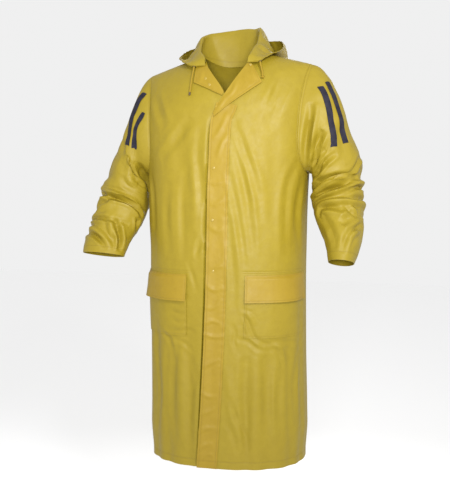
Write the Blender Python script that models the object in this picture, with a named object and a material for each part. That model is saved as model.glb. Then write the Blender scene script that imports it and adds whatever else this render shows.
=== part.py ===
"""Long hooded raincoat of coated cloth, filled out as if worn, with its hood down.

Metres, +Z up, the front faces -Y and the wearer's left side is +X. The origin is the middle of the
neck opening at shoulder height. Every cut piece is a thin closed wall worked out from rings and
rows of named sizes; pieces meet at seams with a small gap, and what lies on a panel is the panel's
own surface moved out.
"""
import math

import bmesh
import bpy
import numpy as np

# ---------------------------------------------------------------- driving sizes
CLOTH = 0.0012            # wall of one cloth piece
TAPE = 0.0010             # wall of a sleeve tape
SEAM_GAP = 0.0003         # gap where two pieces are sewn edge to edge
LAY_GAP = 0.0007          # gap under a piece that lies flat on another
HEM_Z = -1.170            # height of the hem below the shoulders
NECK_X = 0.090            # half width of the neck opening
NECK_Z = 0.035            # height of the shoulder seam at the neck
SHOULDER_FALL = 0.30      # fall of the shoulder seam for each metre outward
SHOULDER_PEAK = 0.020     # rounding of the shoulder line over the neck
SHOULDER_TILT = 0.055     # the wearer's left shoulder is held a little higher
TILT_FADE = 0.50          # drop below the shoulder where that tilt has died out
ROOF = 0.160              # drop over which front and back round off to the shoulder seam
BACK_NECK_DIP = 0.052     # dip of the back neckline below the shoulder line
SQUARENESS = 2.4          # exponent of the body's rounded cross-section
LEFT_EDGE_IN = 0.020      # the left front's edge lies this far inside the flap's free edge
RIGHT_EDGE_IN = 0.040     # the right front reaches this far under the flap
LEFT_STEP = 0.020         # width of the left front's first two columns
RIGHT_STEP = 0.014        # width of the right front's first three columns
UNDERLAP_SINK = 0.0026    # the right front steps in by this much where it runs under the left

# Body rings. Columns: height, half width, depth to the front, depth to the back, middle x
BODY_RINGS = (
    (0.060, 0.256, 0.118, 0.104, -0.002),
    (-0.050, 0.254, 0.131, 0.119, -0.003),
    (-0.150, 0.251, 0.146, 0.132, -0.005),
    (-0.250, 0.246, 0.156, 0.137, -0.006),
    (-0.320, 0.241, 0.160, 0.137, -0.007),
    (-0.450, 0.238, 0.163, 0.135, -0.009),
    (-0.600, 0.237, 0.166, 0.136, -0.009),
    (-0.800, 0.238, 0.168, 0.140, -0.008),
    (-1.000, 0.241, 0.170, 0.146, -0.006),
    (-1.170, 0.246, 0.173, 0.151, -0.005),
)

# Rows from the shoulder seam to the underarm. Columns: drop at the front's inner edge, x of that
# edge, shift of that edge to the wearer's left, drop at the armhole, armhole depth as a share of
# the body's depth
UPPER_ROWS = (
    (0.0000, 0.0900, 0.000, 0.0000, 0.42),
    (0.0028, 0.0895, 0.000, 0.0030, 0.43),
    (0.0100, 0.0850, 0.003, 0.0110, 0.45),
    (0.0210, 0.0760, 0.007, 0.0260, 0.48),
    (0.0340, 0.0643, 0.010, 0.0460, 0.51),
    (0.0640, 0.0483, 0.010, 0.0720, 0.53),
    (0.1000, 0.0243, 0.013, 0.1040, 0.55),
    (0.1370, 0.0022, 0.016, 0.1380, 0.56),
    (0.1750, None, None, 0.1740, 0.56),
    (0.2120, None, None, 0.2100, 0.56),
    (0.2520, None, None, 0.2450, 0.53),
    (0.2930, None, None, 0.2760, 0.45),
    (0.3340, None, None, 0.2990, 0.28),
    (0.3750, None, None, 0.3100, 0.00),
)
V_ROW = 7                 # row of the bottom of the V neck
FLAP_START = 0.7          # rows below it where the storm flap starts, under the lapel
HOOD_ROW = 4              # row of the front neckline where the hood's seam ends
UNDERARM_ROW = 13

# Heights of the rows below the underarm; the pockets and their flaps use some of them
LOWER_ROWS = (-0.365, -0.420, -0.475, -0.530, -0.575, -0.597, -0.613, -0.642, -0.674, -0.706,
              -0.742, -0.779, -0.835, -0.895, -0.960, -1.030, -1.100, HEM_Z)
FLAP_TOP_ROW = UNDERARM_ROW + 6
MOUTH_ROW = UNDERARM_ROW + 7
FLAP_LOW_ROW = UNDERARM_ROW + 9
POCKET_LOW_ROW = UNDERARM_ROW + 12
LAST_ROW = UNDERARM_ROW + len(LOWER_ROWS)

# Free edge of the storm flap, which hangs a little across the middle. Columns: height, x
FLAP_EDGE = ((-0.080, 0.012), (-0.138, -0.0165), (-0.165, -0.023), (-0.250, -0.0255),
             (-0.383, -0.029), (-0.641, -0.033), (-0.965, -0.047), (-1.170, -0.060))

# Share of the way from the columns beside the closing to the side seam or armhole
FRONT_SHARES = (0.0, 0.07, 0.145, 0.25, 0.36, 0.47, 0.58, 0.69, 0.79, 0.895, 1.0)
POCKET_SHARES = (2, 9)    # first and last column of the pocket in that list
BACK_SHARES = (0.0, 0.06, 0.12, 0.18, 0.2355, 0.33, 0.44, 0.55, 0.66, 0.77, 0.88, 1.0)
BACK_NECK_SHARE = 4       # its column at the side of the neck

# Long soft folds. Columns: angle from the middle of the front (or back), change of that angle
# down the fold, top, bottom, half width in degrees, depth (a trough is positive)
FRONT_FOLDS = (
    (-74, -2, -0.45, -1.30, 7, 0.0070),
    (-58, 3, -0.20, -0.62, 8, 0.0060),
    (-50, -4, -0.72, -1.35, 6, 0.0110),
    (-33, -2, -0.76, -1.35, 5, 0.0095),
    (-24, 6, -0.12, -0.55, 6, 0.0070),
    (-16, 2, -0.68, -1.35, 5, 0.0080),
    (15, 4, -0.16, -0.56, 5, 0.0060),
    (20, -3, -0.70, -1.35, 5, 0.0090),
    (36, 5, -0.14, -0.50, 7, 0.0070),
    (38, -3, -0.76, -1.35, 6, 0.0110),
    (57, 2, -0.72, -1.35, 6, 0.0095),
    (66, -4, -0.30, -0.60, 7, 0.0060),
    (75, 1, -0.60, -1.35, 6, 0.0070),
)
BACK_FOLDS = (
    (-68, 3, -0.30, -1.35, 8, 0.0085),
    (-47, -2, -0.45, -1.35, 7, 0.0100),
    (-27, 3, -0.26, -1.35, 7, 0.0090),
    (-8, -2, -0.50, -1.35, 6, 0.0095),
    (12, 2, -0.34, -1.35, 7, 0.0100),
    (31, -3, -0.42, -1.35, 6, 0.0085),
    (50, 3, -0.28, -1.35, 7, 0.0095),
    (70, -2, -0.48, -1.35, 8, 0.0080),
)
FOLD_SIDE_FADE = 14.0     # folds die out over this angle towards the side seams
FOLD_END = 0.10           # and over this length at their ends

# Sleeves below the armhole. Columns: outer line x, y, z; inner line x, y, z; half depth
SLEEVE_LEFT = (
    (0.262, 0.000, -0.006, 0.2385, 0.000, -0.3115, 0.086),
    (0.288, 0.002, -0.030, 0.2425, 0.001, -0.3125, 0.089),
    (0.308, 0.004, -0.066, 0.2445, 0.002, -0.3200, 0.090),
    (0.328, 0.006, -0.112, 0.2450, 0.003, -0.3310, 0.089),
    (0.347, 0.008, -0.163, 0.2450, 0.004, -0.3440, 0.087),
    (0.366, 0.008, -0.213, 0.2450, 0.004, -0.3570, 0.085),
    (0.384, 0.007, -0.260, 0.2450, 0.003, -0.3700, 0.083),
    (0.394, 0.004, -0.298, 0.2450, 0.000, -0.3820, 0.081),
    (0.392, 0.000, -0.330, 0.2455, -0.006, -0.3930, 0.079),
    (0.399, -0.008, -0.357, 0.2475, -0.014, -0.4050, 0.078),
    (0.396, -0.018, -0.384, 0.2520, -0.025, -0.4190, 0.076),
    (0.402, -0.030, -0.412, 0.2600, -0.039, -0.4360, 0.074),
    (0.404, -0.045, -0.443, 0.2710, -0.056, -0.4560, 0.072),
    (0.403, -0.061, -0.475, 0.2840, -0.076, -0.4780, 0.069),
    (0.400, -0.079, -0.506, 0.2960, -0.095, -0.5020, 0.066),
    (0.394, -0.097, -0.534, 0.3050, -0.112, -0.5270, 0.063),
    (0.385, -0.113, -0.560, 0.3120, -0.126, -0.5530, 0.061),
)
SLEEVE_RIGHT = (
    (-0.258, 0.000, -0.036, -0.2520, 0.000, -0.3200, 0.086),
    (-0.274, 0.002, -0.070, -0.2570, 0.001, -0.3205, 0.089),
    (-0.290, 0.004, -0.106, -0.2590, 0.002, -0.3290, 0.090),
    (-0.307, 0.006, -0.148, -0.2595, 0.003, -0.3400, 0.089),
    (-0.327, 0.008, -0.190, -0.2590, 0.004, -0.3530, 0.087),
    (-0.348, 0.008, -0.233, -0.2570, 0.004, -0.3660, 0.085),
    (-0.370, 0.006, -0.276, -0.2570, 0.002, -0.3790, 0.082),
    (-0.389, 0.002, -0.316, -0.2570, -0.002, -0.3920, 0.079),
    (-0.404, -0.004, -0.350, -0.2575, -0.010, -0.4050, 0.076),
    (-0.411, -0.012, -0.380, -0.2585, -0.020, -0.4190, 0.073),
    (-0.413, -0.022, -0.408, -0.2600, -0.032, -0.4350, 0.070),
    (-0.417, -0.036, -0.436, -0.2640, -0.048, -0.4530, 0.067),
    (-0.427, -0.052, -0.462, -0.2740, -0.064, -0.4720, 0.063),
    (-0.424, -0.070, -0.488, -0.2860, -0.081, -0.4920, 0.059),
    (-0.431, -0.086, -0.512, -0.2940, -0.096, -0.5130, 0.055),
    (-0.430, -0.100, -0.534, -0.2980, -0.110, -0.5350, 0.051),
    (-0.428, -0.113, -0.553, -0.3000, -0.122, -0.5570, 0.048),
)
ARMHOLE_DEPTH = 0.086     # half depth of the sleeve at the armhole
CAP_ROWS = 5              # rows over which the armhole's shape turns into the sleeve's oval
CAP_BULGE_ROWS = 2        # rows over which the armhole's curve outward dies out
CREASE_START_ROWS = 3     # rows over which creases set in below the cap
SLEEVE_PART_ROW = 8       # each sleeve's solid is parted here, so that collision stays open
# Creases of a sleeve. Columns: row where the trough crosses the outer line, change of row from the
# outer to the inner line, angle of its middle round the sleeve, half length as an angle, half
# width in rows, depth
CREASES_LEFT = (
    (8.2, 1.6, 40, 70, 0.50, 0.0100),
    (10.0, 0.8, 20, 60, 0.45, 0.0080),
    (9.4, -2.2, 100, 60, 0.55, 0.0115),
    (11.9, -1.0, 120, 55, 0.45, 0.0070),
    (12.6, 1.4, 30, 50, 0.50, 0.0055),
    (14.6, -1.2, 70, 60, 0.50, 0.0060),
    (9.0, 1.5, -60, 60, 0.50, 0.0080),
    (11.2, -1.2, -90, 60, 0.50, 0.0075),
    (13.6, 1.0, -70, 55, 0.50, 0.0055),
    (5.4, 1.6, -40, 50, 0.60, 0.0045),
)
CREASES_RIGHT = (
    (8.6, -1.6, 60, 75, 0.50, 0.0080),
    (10.6, -1.4, 50, 75, 0.50, 0.0100),
    (12.5, -0.6, 60, 80, 0.45, 0.0110),
    (14.0, 0.8, 40, 60, 0.45, 0.0080),
    (9.6, 1.2, 130, 50, 0.45, 0.0075),
    (15.2, 0.4, 110, 50, 0.45, 0.0040),
    (9.2, 1.4, -60, 60, 0.50, 0.0080),
    (11.4, -1.2, -80, 60, 0.50, 0.0080),
    (13.4, 0.8, -60, 55, 0.50, 0.0060),
    (5.6, 1.6, -40, 50, 0.60, 0.0045),
)

# The hood, down on the shoulders, in sections round the neck on the wearer's left; the right side
# mirrors them. Rows: from the front end of the neck seam round to the middle of the back, each with
# its place on the way there and its shift to the wearer's left. Columns after those, each x, y, z:
# stand, roll inner, roll outer, fall, fall low, pouch inner, pouch bottom, pouch outer, outer,
# outer high, rim
HOOD_SECTIONS = (
    (0.00, 0.009, (
        (0.0640, -0.0805, 0.0115), (0.0650, -0.0790, 0.0175), (0.0650, -0.0822, 0.0205),
        (0.0645, -0.0858, 0.0190), (0.0640, -0.0882, 0.0160), (0.0637, -0.0897, 0.0130),
        (0.0634, -0.0906, 0.0102), (0.0631, -0.0913, 0.0075), (0.0628, -0.0917, 0.0050),
        (0.0625, -0.0920, 0.0027), (0.0622, -0.0922, 0.0006))),
    (0.08, 0.006, (
        (0.0700, -0.0640, 0.0210), (0.0690, -0.0650, 0.0290), (0.0715, -0.0700, 0.0310),
        (0.0755, -0.0755, 0.0275), (0.0785, -0.0800, 0.0230), (0.0812, -0.0838, 0.0185),
        (0.0836, -0.0868, 0.0142), (0.0858, -0.0892, 0.0100), (0.0878, -0.0910, 0.0060),
        (0.0895, -0.0922, 0.0025), (0.0912, -0.0930, -0.0005))),
    (0.17, 0.001, (
        (0.0800, -0.0450, 0.0310), (0.0775, -0.0480, 0.0420), (0.0815, -0.0520, 0.0430),
        (0.0890, -0.0580, 0.0345), (0.0955, -0.0630, 0.0265), (0.1015, -0.0670, 0.0205),
        (0.1080, -0.0700, 0.0170), (0.1130, -0.0715, 0.0155), (0.1175, -0.0720, 0.0150),
        (0.1220, -0.0715, 0.0155), (0.1260, -0.0700, 0.0175))),
    (0.36, -0.004, (
        (0.0850, -0.0020, 0.0460), (0.0845, -0.0080, 0.0600), (0.0900, -0.0090, 0.0615),
        (0.1000, -0.0100, 0.0530), (0.1090, -0.0100, 0.0420), (0.1180, -0.0080, 0.0330),
        (0.1280, -0.0050, 0.0285), (0.1380, -0.0020, 0.0280), (0.1460, 0.0020, 0.0310),
        (0.1520, 0.0060, 0.0350), (0.1555, 0.0100, 0.0410))),
    (0.56, -0.008, (
        (0.0850, 0.0300, 0.0650), (0.0860, 0.0320, 0.0870), (0.0915, 0.0350, 0.0890),
        (0.1030, 0.0420, 0.0720), (0.1150, 0.0520, 0.0500), (0.1270, 0.0640, 0.0290),
        (0.1390, 0.0760, 0.0160), (0.1500, 0.0840, 0.0170), (0.1565, 0.0860, 0.0300),
        (0.1565, 0.0830, 0.0480), (0.1490, 0.0760, 0.0620))),
    (0.78, -0.009, (
        (0.0660, 0.0780, 0.0850), (0.0730, 0.0800, 0.1080), (0.0760, 0.0870, 0.1095),
        (0.0870, 0.1020, 0.0850), (0.0990, 0.1200, 0.0450), (0.1090, 0.1360, -0.0050),
        (0.1190, 0.1500, -0.0550), (0.1330, 0.1640, -0.0600), (0.1430, 0.1700, -0.0150),
        (0.1400, 0.1600, 0.0400), (0.1270, 0.1400, 0.0780))),
    (1.00, -0.004, (
        (0.0000, 0.0900, 0.0750), (0.0000, 0.1040, 0.1230), (0.0000, 0.1120, 0.1245),
        (0.0000, 0.1320, 0.0880), (0.0000, 0.1500, 0.0250), (0.0000, 0.1580, -0.0550),
        (0.0000, 0.1680, -0.1250), (0.0000, 0.1860, -0.1340), (0.0000, 0.2070, -0.0700),
        (0.0000, 0.2060, 0.0150), (0.0000, 0.1850, 0.0860))),
)

# Lapels: the turned-out top corners of the fronts. Each is ruled between its fold line and its
# outer edge, both given as x, z seen from the front
LAPEL_RIGHT_FOLD = ((-0.0530, 0.0025), (-0.0320, -0.0220), (-0.0095, -0.0480), (0.0120, -0.0780))
LAPEL_RIGHT_EDGE = ((-0.0796, -0.0030), (-0.0793, -0.0528), (-0.0359, -0.0704), (0.0095, -0.0895))
LAPEL_LEFT_FOLD = ((0.0722, 0.0070), (0.0525, -0.0265), (0.0350, -0.0540), (0.0178, -0.0815),
                   (-0.0165, -0.1335))
LAPEL_LEFT_EDGE = ((0.0855, -0.0065), (0.1167, -0.0548), (0.0750, -0.0847), (0.0373, -0.1100),
                   (-0.0120, -0.1484))
LAPEL_LIFT = 0.0010       # gap under a lapel at its fold
LAPEL_LEFT_LIFT = 0.0026  # the left one also clears the top of the storm flap
LAPEL_RISE = 0.0030       # how much further its outer edge stands off

# Sleeve tapes. Columns: name, angle round the sleeve from the outer line towards the front and row
# of the tape's top, angle and row of its lower end
TAPE_WIDTH = 0.018
TAPE_GAP = 0.0013
TAPE_ROWS = 9
TAPE_COLUMNS = 7
TAPES_LEFT = (("tape_left_front", 55, 1.5, 72, 5.2), ("tape_left_back", 30, 2.1, 42, 5.8))
TAPES_RIGHT = (("tape_right_front", 84, 0.9, 118, 2.2), ("tape_right_back", 56, 0.9, 82, 4.0))

POCKET_FULLNESS = 0.0040  # how far a pocket stands off in its middle
FLAP_FLARE = 0.0070       # how far a pocket flap's lower edge stands off

# Press-stud caps. Columns: name, side, x, z, height of its foot above the front
SNAPS = (
    ("snap_flap_upper", 1, -0.0107, -0.2925, 0.0023),
    ("snap_flap_lower", 1, -0.0116, -0.5856, 0.0023),
    ("snap_lapel_right_upper", -1, -0.0449, -0.0418, 0.0036),
    ("snap_lapel_right_lower", -1, -0.0306, -0.0593, 0.0045),
    ("snap_lapel_left", 1, 0.0785, -0.0050, 0.0062),
)
SNAP_RADIUS = 0.0045
SNAP_HEIGHT = 0.0020
SNAP_PROFILE = ((1.0, 0.0), (1.0, 0.35), (0.85, 0.75), (0.5, 1.0))
SNAP_SIDES = 12

# The hood's drawcord: the two ends that hang free from its channel, x, y, z from the exit down
CORD_RADIUS = 0.0026
CORD_POINTS = 18
CORD_RIGHT = ((-0.0862, -0.0930, -0.0046), (-0.0868, -0.0980, -0.0160), (-0.0873, -0.1055, -0.0290),
              (-0.0876, -0.1130, -0.0420), (-0.0878, -0.1200, -0.0560), (-0.0880, -0.1258, -0.0690),
              (-0.0882, -0.1308, -0.0800))
CORD_LEFT = ((0.1066, -0.0876, 0.0072), (0.1090, -0.0912, -0.0025), (0.1118, -0.0948, -0.0110),
             (0.1146, -0.0985, -0.0190), (0.1168, -0.1022, -0.0270), (0.1184, -0.1060, -0.0350))
TIP_LENGTH = 0.009
TIP_RADIUS = 0.0030
TIP_PROFILE = ((0.75, 0.0), (1.0, 0.2), (1.0, 0.75), (0.6, 1.0))
TIP_SIDES = 8

YELLOW = (0.60, 0.46, 0.045)
WARM_YELLOW = (0.64, 0.45, 0.05)
NAVY = (0.035, 0.035, 0.10)
TIP_BROWN = (0.10, 0.06, 0.02)


# ---------------------------------------------------------------- helpers
def smooth_table(x, xs, ys):
    """Value at x of a smooth curve through (xs, ys) that never overshoots them."""
    xs = np.asarray(xs, float)
    ys = np.asarray(ys, float)
    x = np.clip(np.asarray(x, float), xs[0], xs[-1])
    step = np.diff(xs)
    slope = np.diff(ys) / step
    grade = np.empty_like(ys)
    grade[0] = slope[0]
    grade[-1] = slope[-1]
    same = slope[1:] * slope[:-1] > 0
    mean = np.where(same, 2 * slope[1:] * slope[:-1] / np.where(same, slope[1:] + slope[:-1], 1), 0)
    grade[1:-1] = mean
    i = np.clip(np.searchsorted(xs, x, side="right") - 1, 0, len(xs) - 2)
    t = (x - xs[i]) / step[i]
    h = step[i]
    a = (1 + 2 * t) * (1 - t) ** 2
    b = t * (1 - t) ** 2 * h
    c = t * t * (3 - 2 * t)
    d = t * t * (t - 1) * h
    return a * ys[i] + b * grade[i] + c * ys[i + 1] + d * grade[i + 1]


def curve_through(points, t):
    """Points at the parameters t (0..len-1) of a Catmull-Rom curve through the given points."""
    points = np.asarray(points, float)
    padded = np.vstack([2 * points[0] - points[1], points, 2 * points[-1] - points[-2]])
    i = np.clip(np.floor(t).astype(int), 0, len(points) - 2)
    f = (np.asarray(t, float) - i)[:, None]
    p0, p1, p2, p3 = padded[i], padded[i + 1], padded[i + 2], padded[i + 3]
    return 0.5 * (2 * p1 + (p2 - p0) * f + (2 * p0 - 5 * p1 + 4 * p2 - p3) * f ** 2
                  + (3 * p1 - p0 - 3 * p2 + p3) * f ** 3)


def ease(t):
    t = np.clip(t, 0.0, 1.0)
    return t * t * (3 - 2 * t)


def unit(v):
    return v / np.maximum(np.linalg.norm(v, axis=-1, keepdims=True), 1e-12)


def grid_normals(points, closed=False, flip=1.0):
    """Outward normals of a grid of points by central differences."""
    if closed:
        down = np.roll(points, -1, axis=0) - np.roll(points, 1, axis=0)
    else:
        down = np.gradient(points, axis=0)
    across = np.gradient(points, axis=1)
    return unit(np.cross(down, across)) * flip


# ---------------------------------------------------------------- meshes
def make_material(name, colour, rough, metal=0.0):
    material = bpy.data.materials.new(name)
    material.use_nodes = True
    shader = material.node_tree.nodes["Principled BSDF"]
    shader.inputs["Base Color"].default_value = (*colour, 1.0)
    shader.inputs["Roughness"].default_value = rough
    shader.inputs["Metallic"].default_value = metal
    return material


def add_solid(name, verts, faces, material):
    mesh = bpy.data.meshes.new(name)
    bm = bmesh.new()
    made = [bm.verts.new(v) for v in verts]
    for face in faces:
        bm.faces.new([made[i] for i in face])
    bmesh.ops.recalc_face_normals(bm, faces=bm.faces)
    bmesh.ops.triangulate(bm, faces=bm.faces)
    bm.to_mesh(mesh)
    bm.free()
    mesh.materials.append(material)
    mesh.shade_smooth()
    mesh.set_sharp_from_angle(angle=math.radians(50))
    obj = bpy.data.objects.new(name, mesh)
    bpy.context.collection.objects.link(obj)
    return obj


def add_wall(name, outer, normals, thickness, material, closed=False):
    """Closed wall between a grid of outer points and the same points moved in by thickness."""
    rows, cols = outer.shape[:2]
    inner = outer - normals * thickness
    verts = [tuple(p) for p in outer.reshape(-1, 3)] + [tuple(p) for p in inner.reshape(-1, 3)]
    count = rows * cols
    faces = []
    last = rows if closed else rows - 1
    for i in range(last):
        k = (i + 1) % rows
        for j in range(cols - 1):
            a, b, c, d = i * cols + j, i * cols + j + 1, k * cols + j + 1, k * cols + j
            faces.append((a, b, c, d))
            faces.append((count + d, count + c, count + b, count + a))
        for j, turn in ((0, 1), (cols - 1, -1)):
            a, b = i * cols + j, k * cols + j
            faces.append((a, b, count + b, count + a)[::turn])
    if not closed:
        for i, turn in ((0, -1), (rows - 1, 1)):
            for j in range(cols - 1):
                a, b = i * cols + j, i * cols + j + 1
                faces.append((a, b, count + b, count + a)[::turn])
    return add_solid(name, verts, faces, material)


# ---------------------------------------------------------------- the body's surface
def shoulder_line(x):
    """Height of the level shoulder line over x."""
    return NECK_Z + SHOULDER_FALL * (NECK_X - np.sqrt(x * x + SHOULDER_PEAK ** 2))


def ring_at(z):
    """Half width, front depth, back depth and middle x of the body at a height."""
    table = np.array(BODY_RINGS)[::-1]
    return [smooth_table(z, table[:, 0], table[:, k]) for k in (1, 2, 3, 4)]


def flap_edge_x(z):
    table = np.array(FLAP_EDGE)[::-1]
    return smooth_table(z, table[:, 0], table[:, 1])


def angle_of(x, half_width, middle):
    share = np.clip(np.abs(x - middle) / half_width, 0, 1)
    return np.sign(x - middle) * np.arcsin(share ** (SQUARENESS / 2))


def fold_depth(angle, z, table):
    """Sum of the soft folds at an angle and a height; it dies out at the side seams."""
    degrees = np.degrees(angle)
    total = np.zeros_like(degrees)
    for middle, drift, top, bottom, half, depth in table:
        run = np.clip((top - z) / (top - bottom), 0, 1)
        ends = ease((top - z) / FOLD_END) * ease((z - bottom) / FOLD_END)
        total += depth * ends * np.exp(-((degrees - middle - drift * run) / half) ** 2)
    return total * ease((90.0 - np.abs(degrees)) / FOLD_SIDE_FADE)


def body_surface(angle, drop, level, facing, folds):
    """Point on the body. facing is -1 for the front and +1 for the back."""
    half_width, front, back, middle = ring_at(level)
    depth = front if facing < 0 else back
    across = np.sign(angle) * np.abs(np.sin(angle)) ** (2 / SQUARENESS)
    along = np.abs(np.cos(angle)) ** (2 / SQUARENESS)
    rounding = np.clip(drop / ROOF, 0, 1)
    rounding = np.sqrt(np.maximum(0.0, 1 - (1 - rounding) ** 2))
    trough = fold_depth(angle, level, folds)
    x = middle + half_width * across - trough * np.sin(angle)
    y = facing * (depth * along * rounding - trough * np.cos(angle))
    z = level + SHOULDER_TILT * x * np.clip(1 - drop / TILT_FADE, 0, 1)
    return np.stack([x, y, z], axis=-1)


def row_tables(side):
    """Inner x, inner drop, outer drop and armhole share of every row, for one front."""
    inner_x, inner_drop, outer_drop, share = [], [], [], []
    edge_in = LEFT_EDGE_IN if side > 0 else RIGHT_EDGE_IN
    for in_drop, edge, shift, out_drop, arm in UPPER_ROWS:
        if edge is None:
            x = float(flap_edge_x(float(shoulder_line(0.0)) - in_drop)) + edge_in
        else:
            x = side * edge + shift
        inner_x.append(x)
        inner_drop.append(in_drop)
        outer_drop.append(out_drop)
        share.append(arm)
    for z in LOWER_ROWS:
        half_width, _, _, middle = ring_at(z)
        x = float(flap_edge_x(z)) + edge_in
        inner_x.append(x)
        inner_drop.append(float(shoulder_line(x)) - z)
        outer_drop.append(float(shoulder_line(middle + half_width)) - z)
        share.append(0.0)
    return [np.array(t) for t in (inner_x, inner_drop, outer_drop, share)]


ROW_TABLES = {}


def at_row(row, values, rooted=False):
    """A row table's value at a fractional row; drops are smoothed as square roots."""
    index = np.arange(len(values))
    if rooted:
        return smooth_table(row, index, np.sqrt(values)) ** 2
    return smooth_table(row, index, values)


def front_surface(side, col, row):
    """Point of a front at fractional columns and rows. side: +1 wearer's left, -1 right."""
    if side not in ROW_TABLES:
        ROW_TABLES[side] = row_tables(side)
    inner_x, inner_drop, outer_drop, share = ROW_TABLES[side]
    narrow = 2 if side > 0 else 3
    step = LEFT_STEP if side > 0 else -RIGHT_STEP
    x_in = at_row(row, inner_x)
    drop_in = at_row(row, inner_drop, rooted=True)
    drop_out = at_row(row, outer_drop, rooted=True)
    arm = np.clip(at_row(row, share), 0, 1)
    level_in = shoulder_line(x_in) - drop_in
    half_width, _, _, middle = ring_at(level_in)
    near = x_in + step * np.minimum(col, narrow)
    angle_near = angle_of(near, half_width, middle)
    angle_far = side * np.arccos(arm ** (SQUARENESS / 2))
    wide = smooth_table(col - narrow, np.arange(len(FRONT_SHARES)), FRONT_SHARES)
    angle = angle_near + (angle_far - angle_near) * wide
    for _ in range(2):
        x = middle + half_width * np.sign(angle) * np.abs(np.sin(angle)) ** (2 / SQUARENESS)
        x_out = middle + half_width * side * np.abs(np.sin(angle_far)) ** (2 / SQUARENESS)
        level_out = shoulder_line(x_out) - drop_out
        along = np.clip((x - x_in) / (x_out - x_in), 0, 1)
        follow = ease(1 - row / UNDERARM_ROW)
        base = level_in + (level_out - level_in) * along
        chord = shoulder_line(x_in) + (shoulder_line(x_out) - shoulder_line(x_in)) * along
        level = base + follow * (shoulder_line(x) - chord)
        half_width, _, _, middle = ring_at(level)
    point = body_surface(angle, np.maximum(shoulder_line(x) - level, 0), level, -1, FRONT_FOLDS)
    point[..., 1] -= SEAM_GAP / 2
    if side < 0:
        sink = UNDERLAP_SINK * np.clip(narrow - col, 0, 1) * np.clip((row - V_ROW + 2) / 2, 0, 1)
        point[..., 1] += sink
    return point


def back_surface(side, col, row):
    """Point of the back at columns counted from its middle, on one side."""
    if side not in ROW_TABLES:
        ROW_TABLES[side] = row_tables(side)
    _, _, outer_drop, share = ROW_TABLES[side]
    drop_out = at_row(row, outer_drop, rooted=True)
    arm = np.clip(at_row(row, share), 0, 1)
    angle_far = side * np.arccos(arm ** (SQUARENESS / 2))
    angle = angle_far * smooth_table(col, np.arange(len(BACK_SHARES)), BACK_SHARES)
    level = shoulder_line(side * 0.24) - drop_out
    for _ in range(3):
        half_width, _, _, middle = ring_at(level)
        x = middle + half_width * np.sign(angle) * np.abs(np.sin(angle)) ** (2 / SQUARENESS)
        x_out = middle + half_width * side * np.abs(np.sin(angle_far)) ** (2 / SQUARENESS)
        follow = ease(1 - row / UNDERARM_ROW)
        neck = BACK_NECK_DIP * np.clip(1 - (x / NECK_X) ** 2, 0, 1) * follow
        level_out = shoulder_line(x_out) - drop_out
        level = level_out + follow * (shoulder_line(x) - shoulder_line(x_out)) - neck
    point = body_surface(angle, np.maximum(shoulder_line(x) - level, 0), level, 1, BACK_FOLDS)
    point[..., 1] += SEAM_GAP / 2
    return point


def surface_normals(surface, col, row, last_col, outward):
    """Outward normals by small differences inside the panel."""
    eps = 0.02
    lo_c, hi_c = np.maximum(col - eps, -1.0), np.minimum(col + eps, last_col)
    lo_r, hi_r = np.maximum(row - eps, 0), np.minimum(row + eps, LAST_ROW)
    across = surface(hi_c, row) - surface(lo_c, row)
    down = surface(col, hi_r) - surface(col, lo_r)
    return unit(np.cross(down, across)) * outward


def front_last_col(side):
    return (2 if side > 0 else 3) + len(FRONT_SHARES) - 1


def front_grid(side, cols, rows):
    """Points and outward normals of a front at the given columns and rows."""
    col, row = np.meshgrid(np.asarray(cols, float), np.asarray(rows, float), indexing="ij")
    last = front_last_col(side)
    points = front_surface(side, col, row)
    normals = surface_normals(lambda c, r: front_surface(side, c, r), col, row, last, side)
    square_to_seams(normals, (col >= last - 1e-9) & (row >= UNDERARM_ROW - 1e-9) | (row <= 1e-9))
    return points, normals


def square_to_seams(normals, mask):
    """Make the wall square to the side and shoulder seams, so that neighbours stay apart."""
    flat = normals.copy()
    flat[..., 1] = 0
    normals[mask] = unit(flat)[mask]


def back_grid(rows):
    """Points and outward normals of the whole back, from the wearer's right to the left."""
    cols = np.arange(len(BACK_SHARES), dtype=float)
    last = len(BACK_SHARES) - 1
    parts = []
    for side in (-1, 1):
        col, row = np.meshgrid(cols, np.asarray(rows, float), indexing="ij")
        points = back_surface(side, col, row)
        normals = surface_normals(lambda c, r, s=side: back_surface(s, c, r), np.maximum(col, 0.02),
                                  row, last, -side)
        seam = (col >= last - 1e-9) & (row >= UNDERARM_ROW - 1e-9)
        seam |= (row <= 1e-9) & (col >= BACK_NECK_SHARE - 1e-9)
        square_to_seams(normals, seam)
        parts.append((points, normals))
    points = np.concatenate([parts[0][0][::-1], parts[1][0][1:]])
    normals = np.concatenate([parts[0][1][::-1], parts[1][1][1:]])
    return points, normals


def locate(side, x, z):
    """Column and row of a front where it has the given x and z, seen from the front."""
    col, row = np.array([4.0]), np.array([8.0])
    top = front_last_col(side)
    for _ in range(40):
        here = front_surface(side, col, row)[0]
        by_col = (front_surface(side, col + 0.05, row)[0] - here) / 0.05
        by_row = (front_surface(side, col, row + 0.05)[0] - here) / 0.05
        system = np.array([[by_col[0], by_row[0]], [by_col[2], by_row[2]]])
        move = np.linalg.solve(system, np.array([x - here[0], z - here[2]]))
        move = np.clip(move, -1.5, 1.5)
        col = np.clip(col + move[0], -1.0, top)
        row = np.clip(row + move[1], 0.05, LAST_ROW)
        if np.abs(move).max() < 1e-4:
            break
    return float(col[0]), float(row[0])


# ---------------------------------------------------------------- panels
def build_fronts_and_back(cloth):
    """The body's three panels."""
    rows = np.arange(LAST_ROW + 1)
    for side, name in ((1, "front_left"), (-1, "front_right")):
        points, normals = front_grid(side, np.arange(front_last_col(side) + 1), rows)
        add_wall(name, points, normals, CLOTH, cloth)
    points, normals = back_grid(rows)
    add_wall("back", points, normals, CLOTH, cloth)


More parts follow.
